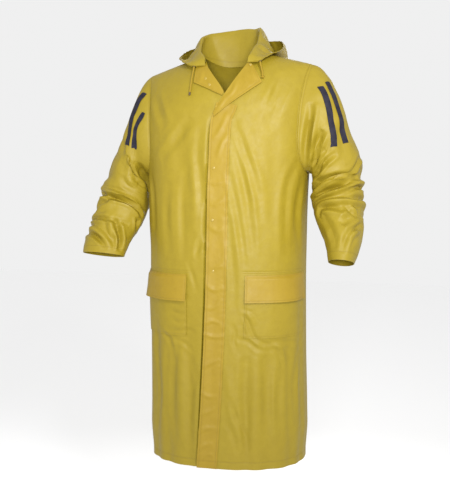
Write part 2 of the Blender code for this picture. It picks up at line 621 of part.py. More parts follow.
def build_storm_flap(cloth):
    """The fly stitched along the left front, which hides the closing."""
    rows = np.concatenate([[V_ROW + FLAP_START], np.arange(V_ROW + 1, LAST_ROW + 1)])
    points, normals = front_grid(1, np.arange(-1, 3), rows)
    add_wall("storm_flap", points + normals * (LAY_GAP + CLOTH), normals, CLOTH, cloth)


def along_line(line):
    """The points of a line of x, z and the middles between them."""
    line = np.array(line)
    place = np.arange(0, len(line) - 0.75, 0.5)
    return np.stack([np.interp(place, np.arange(len(line)), line[:, k]) for k in (0, 1)], axis=-1)


def build_lapel(name, side, fold, edge, base, cloth):
    """A turned-out corner, ruled between its fold and its outer edge and laid on the front."""
    folds, edges = along_line(fold), along_line(edge)
    shares = np.linspace(0, 1, 6)
    cols = np.empty((len(shares), len(folds)))
    rows = np.empty_like(cols)
    for i, share in enumerate(shares):
        for j in range(len(folds)):
            x, z = folds[j] + (edges[j] - folds[j]) * share
            cols[i, j], rows[i, j] = locate(side, x, z)
    points = front_surface(side, cols, rows)
    normals = surface_normals(lambda c, r: front_surface(side, c, r), cols, rows,
                              front_last_col(side), side)
    lift = base + CLOTH + LAPEL_RISE * (shares ** 1.5)[:, None]
    points = points + normals * lift[..., None]
    add_wall(name, points, normals, CLOTH, cloth)


def pocket_columns(side):
    narrow = 2 if side > 0 else 3
    return np.arange(narrow + POCKET_SHARES[0], narrow + POCKET_SHARES[1] + 1)


def build_pocket(side, name, cloth):
    """A patch pocket, a little full in its middle, and the flap over its mouth."""
    cols = pocket_columns(side)
    rows = np.arange(MOUTH_ROW, POCKET_LOW_ROW + 1)
    points, normals = front_grid(side, cols, rows)
    across = np.linspace(0, 1, len(cols))[:, None]
    down = np.linspace(0, 1, len(rows))[None, :]
    full = POCKET_FULLNESS * np.sin(math.pi * across) ** 0.7 * np.cos(down * math.pi / 2) ** 0.6
    lift = LAY_GAP + CLOTH + full
    add_wall("pocket_" + name, points + normals * lift[..., None], normals, CLOTH, cloth)

    rows = np.arange(FLAP_TOP_ROW, FLAP_LOW_ROW + 1)
    points, normals = front_grid(side, cols, rows)
    down = np.arange(len(rows))[None, :]
    full = POCKET_FULLNESS * np.sin(math.pi * across) ** 0.7
    over = np.where(down == 0, 0.0, LAY_GAP + CLOTH + full)
    flare = FLAP_FLARE * (down / (len(rows) - 1)) ** 2 * np.ones_like(across)
    lift = LAY_GAP + CLOTH + over + flare
    add_wall("pocket_flap_" + name, points + normals * lift[..., None], normals, CLOTH, cloth)


# ---------------------------------------------------------------- sleeves
def leading_off(edge, normal, inside, closed):
    """Direction in the surface that leads off a panel at each point of its edge."""
    if closed:
        along = np.roll(edge, -1, axis=0) - np.roll(edge, 1, axis=0)
    else:
        along = np.gradient(edge, axis=0)
    leave = unit(np.cross(along, normal))
    return leave * np.sign(np.sum(leave * (edge - inside)))


def seam_normals(own, leave):
    """A piece's normals at its seam, turned so that its wall keeps off the panel it joins."""
    lean = np.maximum(np.sum(own * leave, axis=-1, keepdims=True), 0)
    return unit(own - lean * leave)


def armhole_ring(side):
    """The armhole's points, from the shoulder down the front and up the back, and the direction
    that leads off the body there."""
    rows = np.arange(UNDERARM_ROW + 1)
    last = front_last_col(side)
    front, front_n = front_grid(side, np.array([last - 0.5, last]), rows)
    back, back_n = back_grid(rows)
    edge, inside = (-1, -2) if side > 0 else (0, 1)
    ring = np.concatenate([front[1], back[edge][1:-1][::-1]])
    normal = np.concatenate([front_n[1], back_n[edge][1:-1][::-1]])
    within = np.concatenate([front[0], back[inside][1:-1][::-1]])
    ring[0, 1] = ring[UNDERARM_ROW, 1] = 0.0
    return ring, leading_off(ring, normal, within, closed=True)


def sleeve_surface(side, table, creases, row):
    """Rings of a sleeve at fractional rows; row 0 is the armhole, row 1 the table's first."""
    armhole, leave = armhole_ring(side)
    count = len(armhole)
    table = np.array(table)
    top, low = armhole[0], armhole[UNDERARM_ROW]
    first = np.concatenate([top, low, [ARMHOLE_DEPTH]])
    rows = np.vstack([first, table])
    index = np.arange(len(rows))
    row = np.asarray(row, float)
    values = np.stack([smooth_table(row, index, rows[:, k]) for k in range(7)], axis=-1)
    outer, inner, deep = values[:, 0:3], values[:, 3:6], values[:, 6]
    centre = (outer + inner) / 2
    reach = (outer - inner) / 2
    path = np.gradient(centre, axis=0)
    path[0] = (side, 0, 0)
    depth_axis = unit(np.cross(reach, path)) * side
    angle = 2 * math.pi * np.arange(count) / count
    base, span = (top + low) / 2, (top - low) / 2
    rise = ((armhole - base) @ span) / (span @ span)
    shape = armhole - base - rise[:, None] * span
    side_share = -shape[:, 1] / ARMHOLE_DEPTH
    bulge = shape.copy()
    bulge[:, 1] = 0
    points = np.empty((count, len(row), 3))
    for j in range(len(row)):
        blend = ease(row[j] / CAP_ROWS)
        oval_rise = rise * (1 - blend) + np.cos(angle) * blend
        oval_side = side_share * (1 - blend) + np.sin(angle) * blend
        points[:, j] = (centre[j] + oval_rise[:, None] * reach[j]
                        - oval_side[:, None] * depth_axis[j] * deep[j]
                        + bulge * (1 - ease(row[j] / CAP_BULGE_ROWS)))
    points[:, 0] = armhole + leave * SEAM_GAP
    normals = grid_normals(points, closed=True, flip=side)
    round_angle = np.degrees(angle)
    round_angle = np.where(round_angle > 180, round_angle - 360, round_angle)
    push = np.zeros(points.shape[:2])
    for start, drift, middle, half_length, half_width, depth in creases:
        at = start + drift * (np.abs(round_angle) / 180.0)
        away = np.abs((round_angle - middle + 180) % 360 - 180)
        weight = np.exp(-(away / half_length) ** 4)
        push += depth * weight[:, None] * np.exp(-((row[None, :] - at[:, None]) / half_width) ** 2)
    push *= ease((row - 1) / CREASE_START_ROWS)[None, :]
    points = points - normals * push[..., None]
    normals = grid_normals(points, closed=True, flip=side)
    normals[:, 0] = seam_normals(normals[:, 0], leave)
    return points, normals


def build_sleeve(side, name, table, creases, cloth):
    """A sleeve, in an upper and a lower solid; its grid goes on to the tapes that lie on it."""
    points, normals = sleeve_surface(side, table, creases, np.arange(len(table) + 1))
    add_wall(f"sleeve_{name}_upper", points[:, :SLEEVE_PART_ROW + 1],
             normals[:, :SLEEVE_PART_ROW + 1], CLOTH, cloth, closed=True)
    lower = points[:, SLEEVE_PART_ROW:].copy()
    lower[:, 0] += unit(lower[:, 1] - lower[:, 0]) * SEAM_GAP
    add_wall(f"sleeve_{name}_lower", lower, normals[:, SLEEVE_PART_ROW:], CLOTH, cloth, closed=True)
    return points, normals


def on_grid(points, normals, turn, row):
    """Point and normal of a closed grid's own facets at a fractional column and row."""
    count = len(points)
    i, j = int(math.floor(turn)), int(math.floor(row))
    f, g = turn - i, row - j
    a, b = i % count, (i + 1) % count
    k = min(j + 1, points.shape[1] - 1)
    weights = ((a, j, (1 - f) * (1 - g)), (b, j, f * (1 - g)), (b, k, f * g), (a, k, (1 - f) * g))
    point = sum(points[u, v] * w for u, v, w in weights)
    normal = unit(sum(normals[u, v] * w for u, v, w in weights))
    return point, normal


def nearest_on_grid(points, normals, turn, row, target):
    """Column and row of the facet point nearest to a target, searched from a start."""
    step = 0.05
    last = points.shape[1] - 1.001
    for _ in range(12):
        here, _ = on_grid(points, normals, turn, row)
        by_turn = (on_grid(points, normals, turn + step, row)[0] - here) / step
        by_row = (on_grid(points, normals, turn, min(row + step, last))[0] - here) / step
        slopes = np.stack([by_turn, by_row], axis=1)
        move = np.clip(np.linalg.lstsq(slopes, target - here, rcond=None)[0], -0.5, 0.5)
        turn += move[0]
        row = min(max(row + move[1], 0.05), last - step)
    return turn, row


def build_tapes(points, normals, tapes, cloth):
    """Two straight tapes stitched on each upper sleeve, laid on the sleeve's own facets."""
    count = len(points)
    for name, top_angle, top_row, low_angle, low_row in tapes:
        turns = np.array([top_angle, low_angle]) / 360.0 * count
        ends = [on_grid(points, normals, turns[k], row) for k, row in enumerate((top_row, low_row))]
        grid = np.empty((TAPE_COLUMNS, TAPE_ROWS, 3))
        outward = np.empty_like(grid)
        along = unit(ends[1][0] - ends[0][0])
        for j, share in enumerate(np.linspace(0, 1, TAPE_ROWS)):
            middle = ends[0][0] + (ends[1][0] - ends[0][0]) * share
            turn = turns[0] + (turns[1] - turns[0]) * share
            row = top_row + (low_row - top_row) * share
            turn, row = nearest_on_grid(points, normals, turn, row, middle)
            centre, normal = on_grid(points, normals, turn, row)
            across = unit(np.cross(normal, along))
            for i, offset in enumerate(np.linspace(-TAPE_WIDTH / 2, TAPE_WIDTH / 2, TAPE_COLUMNS)):
                at = nearest_on_grid(points, normals, turn, row, centre + across * offset)
                grid[i, j], outward[i, j] = on_grid(points, normals, *at)
        add_wall(name, grid + outward * (TAPE_GAP + TAPE), outward, TAPE, cloth)


# ---------------------------------------------------------------- hood
def neck_seam():
    """Points and wall directions round the neckline, from the right front end to the left."""
    fronts = {}
    for side in (-1, 1):
        points, normals = front_grid(side, np.array([0.0, 0.5]), np.arange(HOOD_ROW + 1))
        fronts[side] = (points[0][::-1], normals[0][::-1], points[1][::-1])
    back, back_n = back_grid(np.array([0.0, 0.5]))
    middle = len(BACK_SHARES) - 1
    take = slice(middle - BACK_NECK_SHARE + 1, middle + BACK_NECK_SHARE)
    edge = np.concatenate([fronts[-1][0], back[take, 0], fronts[1][0][::-1]])
    normal = np.concatenate([fronts[-1][1], back_n[take, 0], fronts[1][1][::-1]])
    inside = np.concatenate([fronts[-1][2], back[take, 1], fronts[1][2][::-1]])
    return edge, leading_off(edge, normal, inside, closed=False)


def hood_grid():
    """Outer points and normals of the hood, round the neck and from its seam to its rim."""
    edge, leave = neck_seam()
    length = np.concatenate([[0], np.cumsum(np.linalg.norm(np.diff(edge, axis=0), axis=1))])
    place = length / length[-1] * 2 - 1
    stations, sections = [], []
    for at, shift, keys in HOOD_SECTIONS:
        left = np.array(keys)
        right = left * (-1, 1, 1)
        left[:, 0] += shift
        right[:, 0] += shift
        stations += [at - 1, 1 - at]
        sections += [right, left]
    stations.pop()
    sections.pop()
    order = np.argsort(stations)
    stations = np.array(stations)[order]
    sections = np.array(sections)[order]
    keys = sections.shape[1]
    middles = (place[1:] + place[:-1]) / 2
    columns = np.unique(np.concatenate([place, middles]))
    points = np.empty((len(columns), keys + 1, 3))
    off = np.empty((len(columns), 3))
    for i, value in enumerate(columns):
        section = np.empty((keys, 3))
        for k in range(keys):
            for axis in range(3):
                section[k, axis] = smooth_table(value, stations, sections[:, k, axis])
        section[:, 2] += SHOULDER_TILT * section[:, 0]
        seam = np.array([np.interp(value, place, edge[:, a]) for a in range(3)])
        off[i] = unit(np.array([np.interp(value, place, leave[:, a]) for a in range(3)]))
        points[i, 0] = seam + off[i] * SEAM_GAP
        points[i, 1:] = section
    normals = grid_normals(points, flip=-1.0)
    normals[:, 0] = seam_normals(normals[:, 0], off)
    return points, normals


def build_hood(cloth):
    """The hood as one wall: up from the neck seam, over the roll and down into its pouch."""
    points, normals = hood_grid()
    add_wall("hood", points, normals, CLOTH, cloth)


# ---------------------------------------------------------------- small pieces
def turned(name, base, axis, radius, height, profile, sides, material):
    """Closed turned piece. profile: shares of its radius and height from its foot to its top."""
    helper = np.array([1.0, 0.0, 0.0]) if abs(axis[2]) > 0.7 else np.array([0.0, 0.0, 1.0])
    tangent = unit(np.cross(axis, helper))
    other = np.cross(axis, tangent)
    verts = []
    for wide, high in profile:
        for i in range(sides):
            turn = 2 * math.pi * i / sides
            spoke = tangent * math.cos(turn) + other * math.sin(turn)
            verts.append(tuple(base + spoke * wide * radius + axis * high * height))
    last = len(profile) - 1
    faces = [tuple(range(sides)), tuple(range(last * sides, (last + 1) * sides))]
    for level in range(last):
        for i in range(sides):
            k = (i + 1) % sides
            low, high = level * sides, (level + 1) * sides
            faces.append((low + i, low + k, high + k, high + i))
    return add_solid(name, verts, faces, material)


def build_snaps(material):
    """Domed press-stud caps on the lapels and the storm flap."""
    for name, side, x, z, lift in SNAPS:
        col, row = (np.array([[value]]) for value in locate(side, x, z))
        point = front_surface(side, col, row)[0, 0]
        normal = surface_normals(lambda c, r, s=side: front_surface(s, c, r), col, row,
                                 front_last_col(side), side)[0, 0]
        turned(name, point + normal * lift, normal, SNAP_RADIUS, SNAP_HEIGHT, SNAP_PROFILE,
               SNAP_SIDES, material)


def build_cord(name, route, cord, plastic):
    """One free end of the drawcord, and the tip on its end."""
    points = curve_through(route, np.linspace(0, len(route) - 1, CORD_POINTS))
    curve = bpy.data.curves.new("drawcord_" + name, "CURVE")
    curve.dimensions = "3D"
    curve.bevel_depth = CORD_RADIUS
    curve.bevel_resolution = 2
    curve.use_fill_caps = True
    spline = curve.splines.new("POLY")
    spline.points.add(len(points) - 1)
    for target, point in zip(spline.points, points):
        target.co = (*point, 1.0)
    curve.materials.append(cord)
    obj = bpy.data.objects.new("drawcord_" + name, curve)
    bpy.context.collection.objects.link(obj)
    axis = unit(points[-1] - points[-2])
    turned("cord_tip_" + name, points[-1] + axis * SEAM_GAP, axis, TIP_RADIUS, TIP_LENGTH,
           TIP_PROFILE, TIP_SIDES, plastic)


def clear_scene():
    for obj in list(bpy.data.objects):
        bpy.data.objects.remove(obj, do_unlink=True)


def build():
    clear_scene()
    cloth = make_material("coated_cloth", YELLOW, 0.42)
    warm = make_material("coated_cloth_facing", WARM_YELLOW, 0.42)
    navy = make_material("tape_cloth", NAVY, 0.55)
    metal = make_material("snap_cap", WARM_YELLOW, 0.30)
    cord = make_material("cord", WARM_YELLOW, 0.70)
    plastic = make_material("cord_tip", TIP_BROWN, 0.45)
    build_fronts_and_back(cloth)
    build_storm_flap(warm)
    build_lapel("lapel_right", -1, LAPEL_RIGHT_FOLD, LAPEL_RIGHT_EDGE, LAPEL_LIFT, warm)
    build_lapel("lapel_left", 1, LAPEL_LEFT_FOLD, LAPEL_LEFT_EDGE, LAPEL_LEFT_LIFT, warm)
    for side, name in ((1, "left"), (-1, "right")):
        build_pocket(side, name, warm)
    for side, name, table, creases, tapes in (
            (1, "left", SLEEVE_LEFT, CREASES_LEFT, TAPES_LEFT),
            (-1, "right", SLEEVE_RIGHT, CREASES_RIGHT, TAPES_RIGHT)):
        points, normals = build_sleeve(side, name, table, creases, cloth)
        build_tapes(points, normals, tapes, navy)
    build_hood(cloth)
    build_snaps(metal)
    build_cord("right", CORD_RIGHT, cord, plastic)
    build_cord("left", CORD_LEFT, cord, plastic)


build()
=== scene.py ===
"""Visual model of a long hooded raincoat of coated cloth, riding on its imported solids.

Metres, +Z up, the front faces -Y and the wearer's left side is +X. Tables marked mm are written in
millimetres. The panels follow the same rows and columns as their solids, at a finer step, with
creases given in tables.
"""
import math

import bmesh
import bpy
import numpy as np
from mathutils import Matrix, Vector


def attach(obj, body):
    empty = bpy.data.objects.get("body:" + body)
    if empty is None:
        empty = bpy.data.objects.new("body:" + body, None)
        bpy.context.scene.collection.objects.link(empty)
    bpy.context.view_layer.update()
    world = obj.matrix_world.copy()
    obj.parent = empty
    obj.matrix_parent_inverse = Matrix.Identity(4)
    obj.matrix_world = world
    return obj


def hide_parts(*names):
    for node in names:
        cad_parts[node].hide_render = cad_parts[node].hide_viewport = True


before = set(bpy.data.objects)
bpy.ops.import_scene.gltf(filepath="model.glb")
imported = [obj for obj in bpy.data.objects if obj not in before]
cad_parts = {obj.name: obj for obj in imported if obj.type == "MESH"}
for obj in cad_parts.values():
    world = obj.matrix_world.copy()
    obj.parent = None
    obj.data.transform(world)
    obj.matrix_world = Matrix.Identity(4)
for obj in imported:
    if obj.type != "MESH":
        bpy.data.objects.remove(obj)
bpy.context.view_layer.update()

# ---------------------------------------------------------------- driving sizes
CLOTH = 0.0012            # wall of one cloth piece
SEAM_GAP = 0.0003         # gap where two pieces are sewn edge to edge
LAY_GAP = 0.0007          # gap under a piece that lies flat on another
HEM_Z = -1.170            # height of the hem below the shoulders
NECK_X = 0.090            # half width of the neck opening
NECK_Z = 0.035            # height of the shoulder seam at the neck
SHOULDER_FALL = 0.30      # fall of the shoulder seam for each metre outward
SHOULDER_PEAK = 0.020     # rounding of the shoulder line over the neck
SHOULDER_TILT = 0.055     # the wearer's left shoulder is held a little higher
TILT_FADE = 0.50          # drop below the shoulder where that tilt has died out
ROOF = 0.160              # drop over which front and back round off to the shoulder seam
BACK_NECK_DIP = 0.052     # dip of the back neckline below the shoulder line
SQUARENESS = 2.4          # exponent of the body's rounded cross-section
LEFT_EDGE_IN = 0.020      # the left front's edge lies this far inside the flap's free edge
RIGHT_EDGE_IN = 0.040     # the right front reaches this far under the flap
LEFT_STEP = 0.020         # width of the left front's first two columns
RIGHT_STEP = 0.014        # width of the right front's first three columns
NARROW = {1: (2, LEFT_STEP), -1: (3, -RIGHT_STEP)}   # those columns and their step, by side
UNDERLAP_SINK = 0.0026    # the right front steps in by this much where it runs under the left

# Body rings, mm. Columns: height, half width, depth to the front, depth to the back, middle x
BODY_RINGS = np.array((
    (60, 256, 118, 104, -2),
    (-50, 254, 131, 119, -3),
    (-150, 251, 146, 132, -5),
    (-250, 246, 156, 137, -6),
    (-320, 241, 160, 137, -7),
    (-450, 238, 163, 135, -9),
    (-600, 237, 166, 136, -9),
    (-800, 238, 168, 140, -8),
    (-1000, 241, 170, 146, -6),
    (-1170, 246, 173, 151, -5),
)) / 1000

# Rows from the shoulder seam to the underarm. Columns: drop at the front's inner edge, x of that
# edge, shift of that edge to the wearer's left, drop at the armhole, armhole depth as a share of
# the body's depth
UPPER_ROWS = (
    (0.0000, 0.0900, 0.000, 0.0000, 0.42),
    (0.0028, 0.0895, 0.000, 0.0030, 0.43),
    (0.0100, 0.0850, 0.003, 0.0110, 0.45),
    (0.0210, 0.0760, 0.007, 0.0260, 0.48),
    (0.0340, 0.0643, 0.010, 0.0460, 0.51),
    (0.0640, 0.0483, 0.010, 0.0720, 0.53),
    (0.1000, 0.0243, 0.013, 0.1040, 0.55),
    (0.1370, 0.0022, 0.016, 0.1380, 0.56),
    (0.1750, None, None, 0.1740, 0.56),
    (0.2120, None, None, 0.2100, 0.56),
    (0.2520, None, None, 0.2450, 0.53),
    (0.2930, None, None, 0.2760, 0.45),
    (0.3340, None, None, 0.2990, 0.28),
    (0.3750, None, None, 0.3100, 0.00),
)
V_ROW = 7                 # row of the bottom of the V neck
FLAP_START = 0.7          # rows below it where the storm flap starts, under the lapel
HOOD_ROW = 4              # row of the front neckline where the hood's seam ends
UNDERARM_ROW = 13

# Heights of the rows below the underarm; the pockets and their flaps use some of them
LOWER_ROWS = (-0.365, -0.420, -0.475, -0.530, -0.575, -0.597, -0.613, -0.642, -0.674, -0.706,
              -0.742, -0.779, -0.835, -0.895, -0.960, -1.030, -1.100, HEM_Z)
FLAP_TOP_ROW = UNDERARM_ROW + 6
MOUTH_ROW = UNDERARM_ROW + 7
FLAP_LOW_ROW = UNDERARM_ROW + 9
POCKET_LOW_ROW = UNDERARM_ROW + 12
LAST_ROW = UNDERARM_ROW + len(LOWER_ROWS)

# Free edge of the storm flap, which hangs a little across the middle. Columns: height, x
FLAP_EDGE = ((-0.080, 0.012), (-0.138, -0.0165), (-0.165, -0.023), (-0.250, -0.0255),
             (-0.383, -0.029), (-0.641, -0.033), (-0.965, -0.047), (-1.170, -0.060))

# Share of the way from the columns beside the closing to the side seam or armhole
FRONT_SHARES = (0.0, 0.07, 0.145, 0.25, 0.36, 0.47, 0.58, 0.69, 0.79, 0.895, 1.0)
POCKET_SHARES = (2, 9)    # first and last column of the pocket in that list
BACK_SHARES = (0.0, 0.06, 0.12, 0.18, 0.2355, 0.33, 0.44, 0.55, 0.66, 0.77, 0.88, 1.0)
BACK_NECK_SHARE = 4       # its column at the side of the neck
BACK_START_X = 0.24       # where the search for the back's levels starts

# Long soft folds. Columns: angle from the middle of the front (or back), change of that angle
# down the fold, top, bottom, half width in degrees, depth (a trough is positive)
FRONT_FOLDS = (
    (-74, -2, -0.45, -1.30, 7, 0.0035),
    (-58, 3, -0.20, -0.62, 8, 0.0030),
    (-50, -4, -0.72, -1.35, 6, 0.0055),
    (-33, -2, -0.76, -1.35, 5, 0.0047),
    (-24, 6, -0.12, -0.55, 6, 0.0035),
    (-16, 2, -0.68, -1.35, 5, 0.0040),
    (15, 4, -0.16, -0.56, 5, 0.0030),
    (20, -3, -0.70, -1.35, 5, 0.0045),
    (36, 5, -0.14, -0.50, 7, 0.0035),
    (38, -3, -0.76, -1.35, 6, 0.0055),
    (57, 2, -0.72, -1.35, 6, 0.0047),
    (66, -4, -0.30, -0.60, 7, 0.0030),
    (75, 1, -0.60, -1.35, 6, 0.0035),
)
BACK_FOLDS = (
    (-68, 3, -0.30, -1.35, 8, 0.0060),
    (-47, -2, -0.45, -1.35, 7, 0.0070),
    (-27, 3, -0.26, -1.35, 7, 0.0063),
    (-8, -2, -0.50, -1.35, 6, 0.0066),
    (12, 2, -0.34, -1.35, 7, 0.0070),
    (31, -3, -0.42, -1.35, 6, 0.0060),
    (50, 3, -0.28, -1.35, 7, 0.0066),
    (70, -2, -0.48, -1.35, 8, 0.0056),
)
FOLD_SIDE_FADE = 14.0     # folds die out over this angle towards the side seams
FOLD_END = 0.10           # and over this length at their ends

# Sleeves below the armhole, mm. Columns: outer line x, y, z; inner line x, y, z; half depth
SLEEVE_LEFT = np.array((
    (262, 0, -6, 238.5, 0, -311.5, 86),
    (288, 2, -30, 242.5, 1, -312.5, 89),
    (308, 4, -66, 244.5, 2, -320, 90),
    (328, 6, -112, 245, 3, -331, 89),
    (347, 8, -163, 245, 4, -344, 87),
    (366, 8, -213, 245, 4, -357, 85),
    (384, 7, -260, 245, 3, -370, 83),
    (394, 4, -298, 245, 0, -382, 81),
    (392, 0, -330, 245.5, -6, -393, 79),
    (399, -8, -357, 247.5, -14, -405, 78),
    (396, -18, -384, 252, -25, -419, 76),
    (402, -30, -412, 260, -39, -436, 74),
    (404, -45, -443, 271, -56, -456, 72),
    (403, -61, -475, 284, -76, -478, 69),
    (400, -79, -506, 296, -95, -502, 66),
    (394, -97, -534, 305, -112, -527, 63),
    (385, -113, -560, 312, -126, -553, 61),
)) / 1000
SLEEVE_RIGHT = np.array((
    (-258, 0, -36, -252, 0, -320, 86),
    (-274, 2, -70, -257, 1, -320.5, 89),
    (-290, 4, -106, -259, 2, -329, 90),
    (-307, 6, -148, -259.5, 3, -340, 89),
    (-327, 8, -190, -259, 4, -353, 87),
    (-348, 8, -233, -257, 4, -366, 85),
    (-370, 6, -276, -257, 2, -379, 82),
    (-389, 2, -316, -257, -2, -392, 79),
    (-404, -4, -350, -257.5, -10, -405, 76),
    (-411, -12, -380, -258.5, -20, -419, 73),
    (-413, -22, -408, -260, -32, -435, 70),
    (-417, -36, -436, -264, -48, -453, 67),
    (-427, -52, -462, -274, -64, -472, 63),
    (-424, -70, -488, -286, -81, -492, 59),
    (-431, -86, -512, -294, -96, -513, 55),
    (-430, -100, -534, -298, -110, -535, 51),
    (-428, -113, -553, -300, -122, -557, 48),
)) / 1000
ARMHOLE_DEPTH = 0.086     # half depth of the sleeve at the armhole
CAP_ROWS = 5              # rows over which the armhole's shape turns into the sleeve's oval
CAP_BULGE_ROWS = 2        # rows over which the armhole's curve outward dies out
CREASE_START_ROWS = 3     # rows over which creases set in below the cap
# Creases of a sleeve. Columns: row where the trough crosses the outer line, change of row from the
# outer to the inner line, angle of its middle round the sleeve, half length as an angle, half
# width in rows, depth
CREASES_LEFT = (
    (8.2, 1.6, 12, 48, 0.50, 0.0100),
    (10.0, 0.8, 4, 48, 0.45, 0.0080),
    (9.4, -2.2, 104, 58, 0.60, 0.0055),
    (11.9, -1.0, 140, 45, 0.45, 0.0060),
    (12.6, 1.4, 8, 40, 0.50, 0.0055),
    (14.6, -1.2, 70, 60, 0.50, 0.0035),
    (9.0, 1.5, -60, 60, 0.50, 0.0080),
    (11.2, -1.2, -90, 60, 0.50, 0.0075),
    (13.6, 1.0, -70, 55, 0.50, 0.0055),
    (5.4, 1.6, -40, 50, 0.60, 0.0045),
)
CREASES_RIGHT = (
    (8.6, -1.6, 8, 45, 0.55, 0.0060),
    (10.6, -1.4, 6, 46, 0.50, 0.0100),
    (12.5, -0.6, 8, 48, 0.45, 0.0110),
    (14.0, 0.8, 0, 46, 0.45, 0.0080),
    (9.6, 1.2, 140, 42, 0.50, 0.0050),
    (15.2, 0.4, 110, 50, 0.45, 0.0040),
    (9.2, 1.4, -60, 60, 0.50, 0.0080),
    (11.4, -1.2, -80, 60, 0.50, 0.0080),
    (13.4, 0.8, -60, 55, 0.50, 0.0060),
    (5.6, 1.6, -40, 50, 0.60, 0.0045),
)

# The hood, down on the shoulders, in sections round the neck on the wearer's left; the right side
# mirrors them. Each row: place on the way from the front end of the neck seam round to the middle
# of the back, shift to the wearer's left in mm, then x, y and z of its keys in mm. Keys: stand,
# roll inner, roll outer, fall, fall low, pouch inner, pouch bottom, pouch outer, outer, outer high,
# rim
HOOD_SECTIONS = (
    (0, 9, (64, 65, 65, 64.5, 64, 63.7, 63.4, 63.1, 62.8, 62.5, 62.2),
     (-80.5, -79, -82.2, -85.8, -88.2, -89.7, -90.6, -91.3, -91.7, -92, -92.2),
     (11.5, 17.5, 20.5, 19, 16, 13, 10.2, 7.5, 5, 2.7, 0.6)),
    (0.08, 6, (70, 69, 71.5, 75.5, 78.5, 81.2, 83.6, 85.8, 87.8, 89.5, 91.2),
     (-64, -65, -70, -75.5, -80, -83.8, -86.8, -89.2, -91, -92.2, -93),
     (21, 29, 31, 27.5, 23, 18.5, 14.2, 10, 6, 2.5, -0.5)),
    (0.17, 1, (80, 77.5, 81.5, 89, 95.5, 101.5, 108, 113, 117.5, 122, 126),
     (-45, -48, -52, -58, -63, -67, -70, -71.5, -72, -71.5, -70),
     (31, 42, 43, 34.5, 26.5, 20.5, 17, 15.5, 15, 15.5, 17.5)),
    (0.36, -4, (85, 84.5, 90, 100, 109, 118, 128, 138, 146, 152, 155.5),
     (-2, -8, -9, -10, -10, -8, -5, -2, 2, 6, 10),
     (46, 60, 61.5, 53, 42, 33, 28.5, 28, 31, 35, 41)),
    (0.56, -8, (85, 86, 91.5, 103, 115, 127, 139, 150, 156.5, 156.5, 149),
     (30, 32, 35, 42, 52, 64, 76, 84, 86, 83, 76),
     (65, 87, 89, 72, 50, 29, 16, 17, 30, 48, 62)),
    (0.78, -9, (66, 73, 76, 87, 99, 109, 119, 133, 143, 140, 127),
     (78, 80, 87, 102, 120, 136, 150, 164, 170, 160, 140),
     (85, 108, 109.5, 85, 45, -5, -55, -60, -15, 40, 78)),
    (1, -4, (0, 0, 0, 0, 0, 0, 0, 0, 0, 0, 0),
     (90, 104, 112, 132, 150, 158, 168, 186, 207, 206, 185),
     (75, 123, 124.5, 88, 25, -55, -125, -134, -70, 15, 86)),
)

# What the roll rises or falls by in the photograph: place round the neck from the wearer's right
# to the left, rise; and the share of it that each key of a section takes
ROLL_PLACES = (-0.60, -0.44, -0.22, -0.12, -0.03, 0.05, 0.15, 0.22, 0.30, 0.38, 0.48, 0.60)
ROLL_RISES = (0.0, 0.004, -0.002, -0.009, -0.012, -0.010, -0.005, 0.003, 0.0085, 0.005, 0.001, 0.0)
ROLL_SHARES = np.array((0.35, 1.0, 1.0, 0.8, 0.4, 0.1, 0.0, 0.0, 0.0, 0.0, 0.0))

# Lapels: the turned-out top corners of the fronts. Each is ruled between its fold line and its
# outer edge, both given as x, z seen from the front
LAPEL_RIGHT_FOLD = ((-0.0530, 0.0025), (-0.0320, -0.0220), (-0.0095, -0.0480), (0.0120, -0.0780))
LAPEL_RIGHT_EDGE = ((-0.0796, -0.0030), (-0.0793, -0.0528), (-0.0359, -0.0704), (0.0095, -0.0895))
LAPEL_LEFT_FOLD = ((0.0722, 0.0070), (0.0525, -0.0265), (0.0350, -0.0540), (0.0178, -0.0815),
                   (-0.0165, -0.1335))
LAPEL_LEFT_EDGE = ((0.0855, -0.0065), (0.1167, -0.0548), (0.0750, -0.0847), (0.0373, -0.1100),
                   (-0.0120, -0.1484))
LAPEL_LIFT = 0.0010       # gap under a lapel at its fold
LAPEL_LEFT_LIFT = 0.0026  # the left one also clears the top of the storm flap
LAPEL_RISE = 0.0030       # how much further its outer edge stands off

# Sleeve tapes. Columns: name, angle round the sleeve from the outer line towards the front and row
# of the tape's top, angle and row of its lower end, width
TAPES_LEFT = (("tape_left_front", 55, 1.5, 72, 5.2, 0.018),
              ("tape_left_back", 30, 2.1, 42, 5.8, 0.018))
TAPES_RIGHT = (("tape_right_front", 86, 0.9, 117, 2.3, 0.012),
               ("tape_right_back", 56, 0.9, 82, 4.0, 0.018))

POCKET_FULLNESS = 0.0040  # how far a pocket stands off in its middle
FLAP_FLARE = 0.0070       # how far a pocket flap's lower edge stands off

# Press-stud caps. Columns: name, side, x, z, height of its foot above the front. The middle one has
# no solid of its own
SNAPS = (
    ("snap_flap_upper", 1, -0.0107, -0.2925, 0.0023),
    ("snap_flap_middle", 1, -0.0138, -0.4400, 0.0023),
    ("snap_flap_lower", 1, -0.0116, -0.5856, 0.0023),
    ("snap_lapel_right_upper", -1, -0.0449, -0.0418, 0.0036),
    ("snap_lapel_right_lower", -1, -0.0306, -0.0593, 0.0045),
    ("snap_lapel_left", 1, 0.0785, -0.0050, 0.0062),
)
SNAP_RADIUS = 0.0045
SNAP_HEIGHT = 0.0020
SNAP_SINK = 0.0006        # how far a cap presses into the cloth
SNAP_PROFILE = ((1.0, 0.0), (1.02, 0.2), (0.98, 0.42), (0.90, 0.55), (0.82, 0.60), (0.76, 0.72),
                (0.60, 0.88), (0.38, 0.97), (0.12, 1.0))

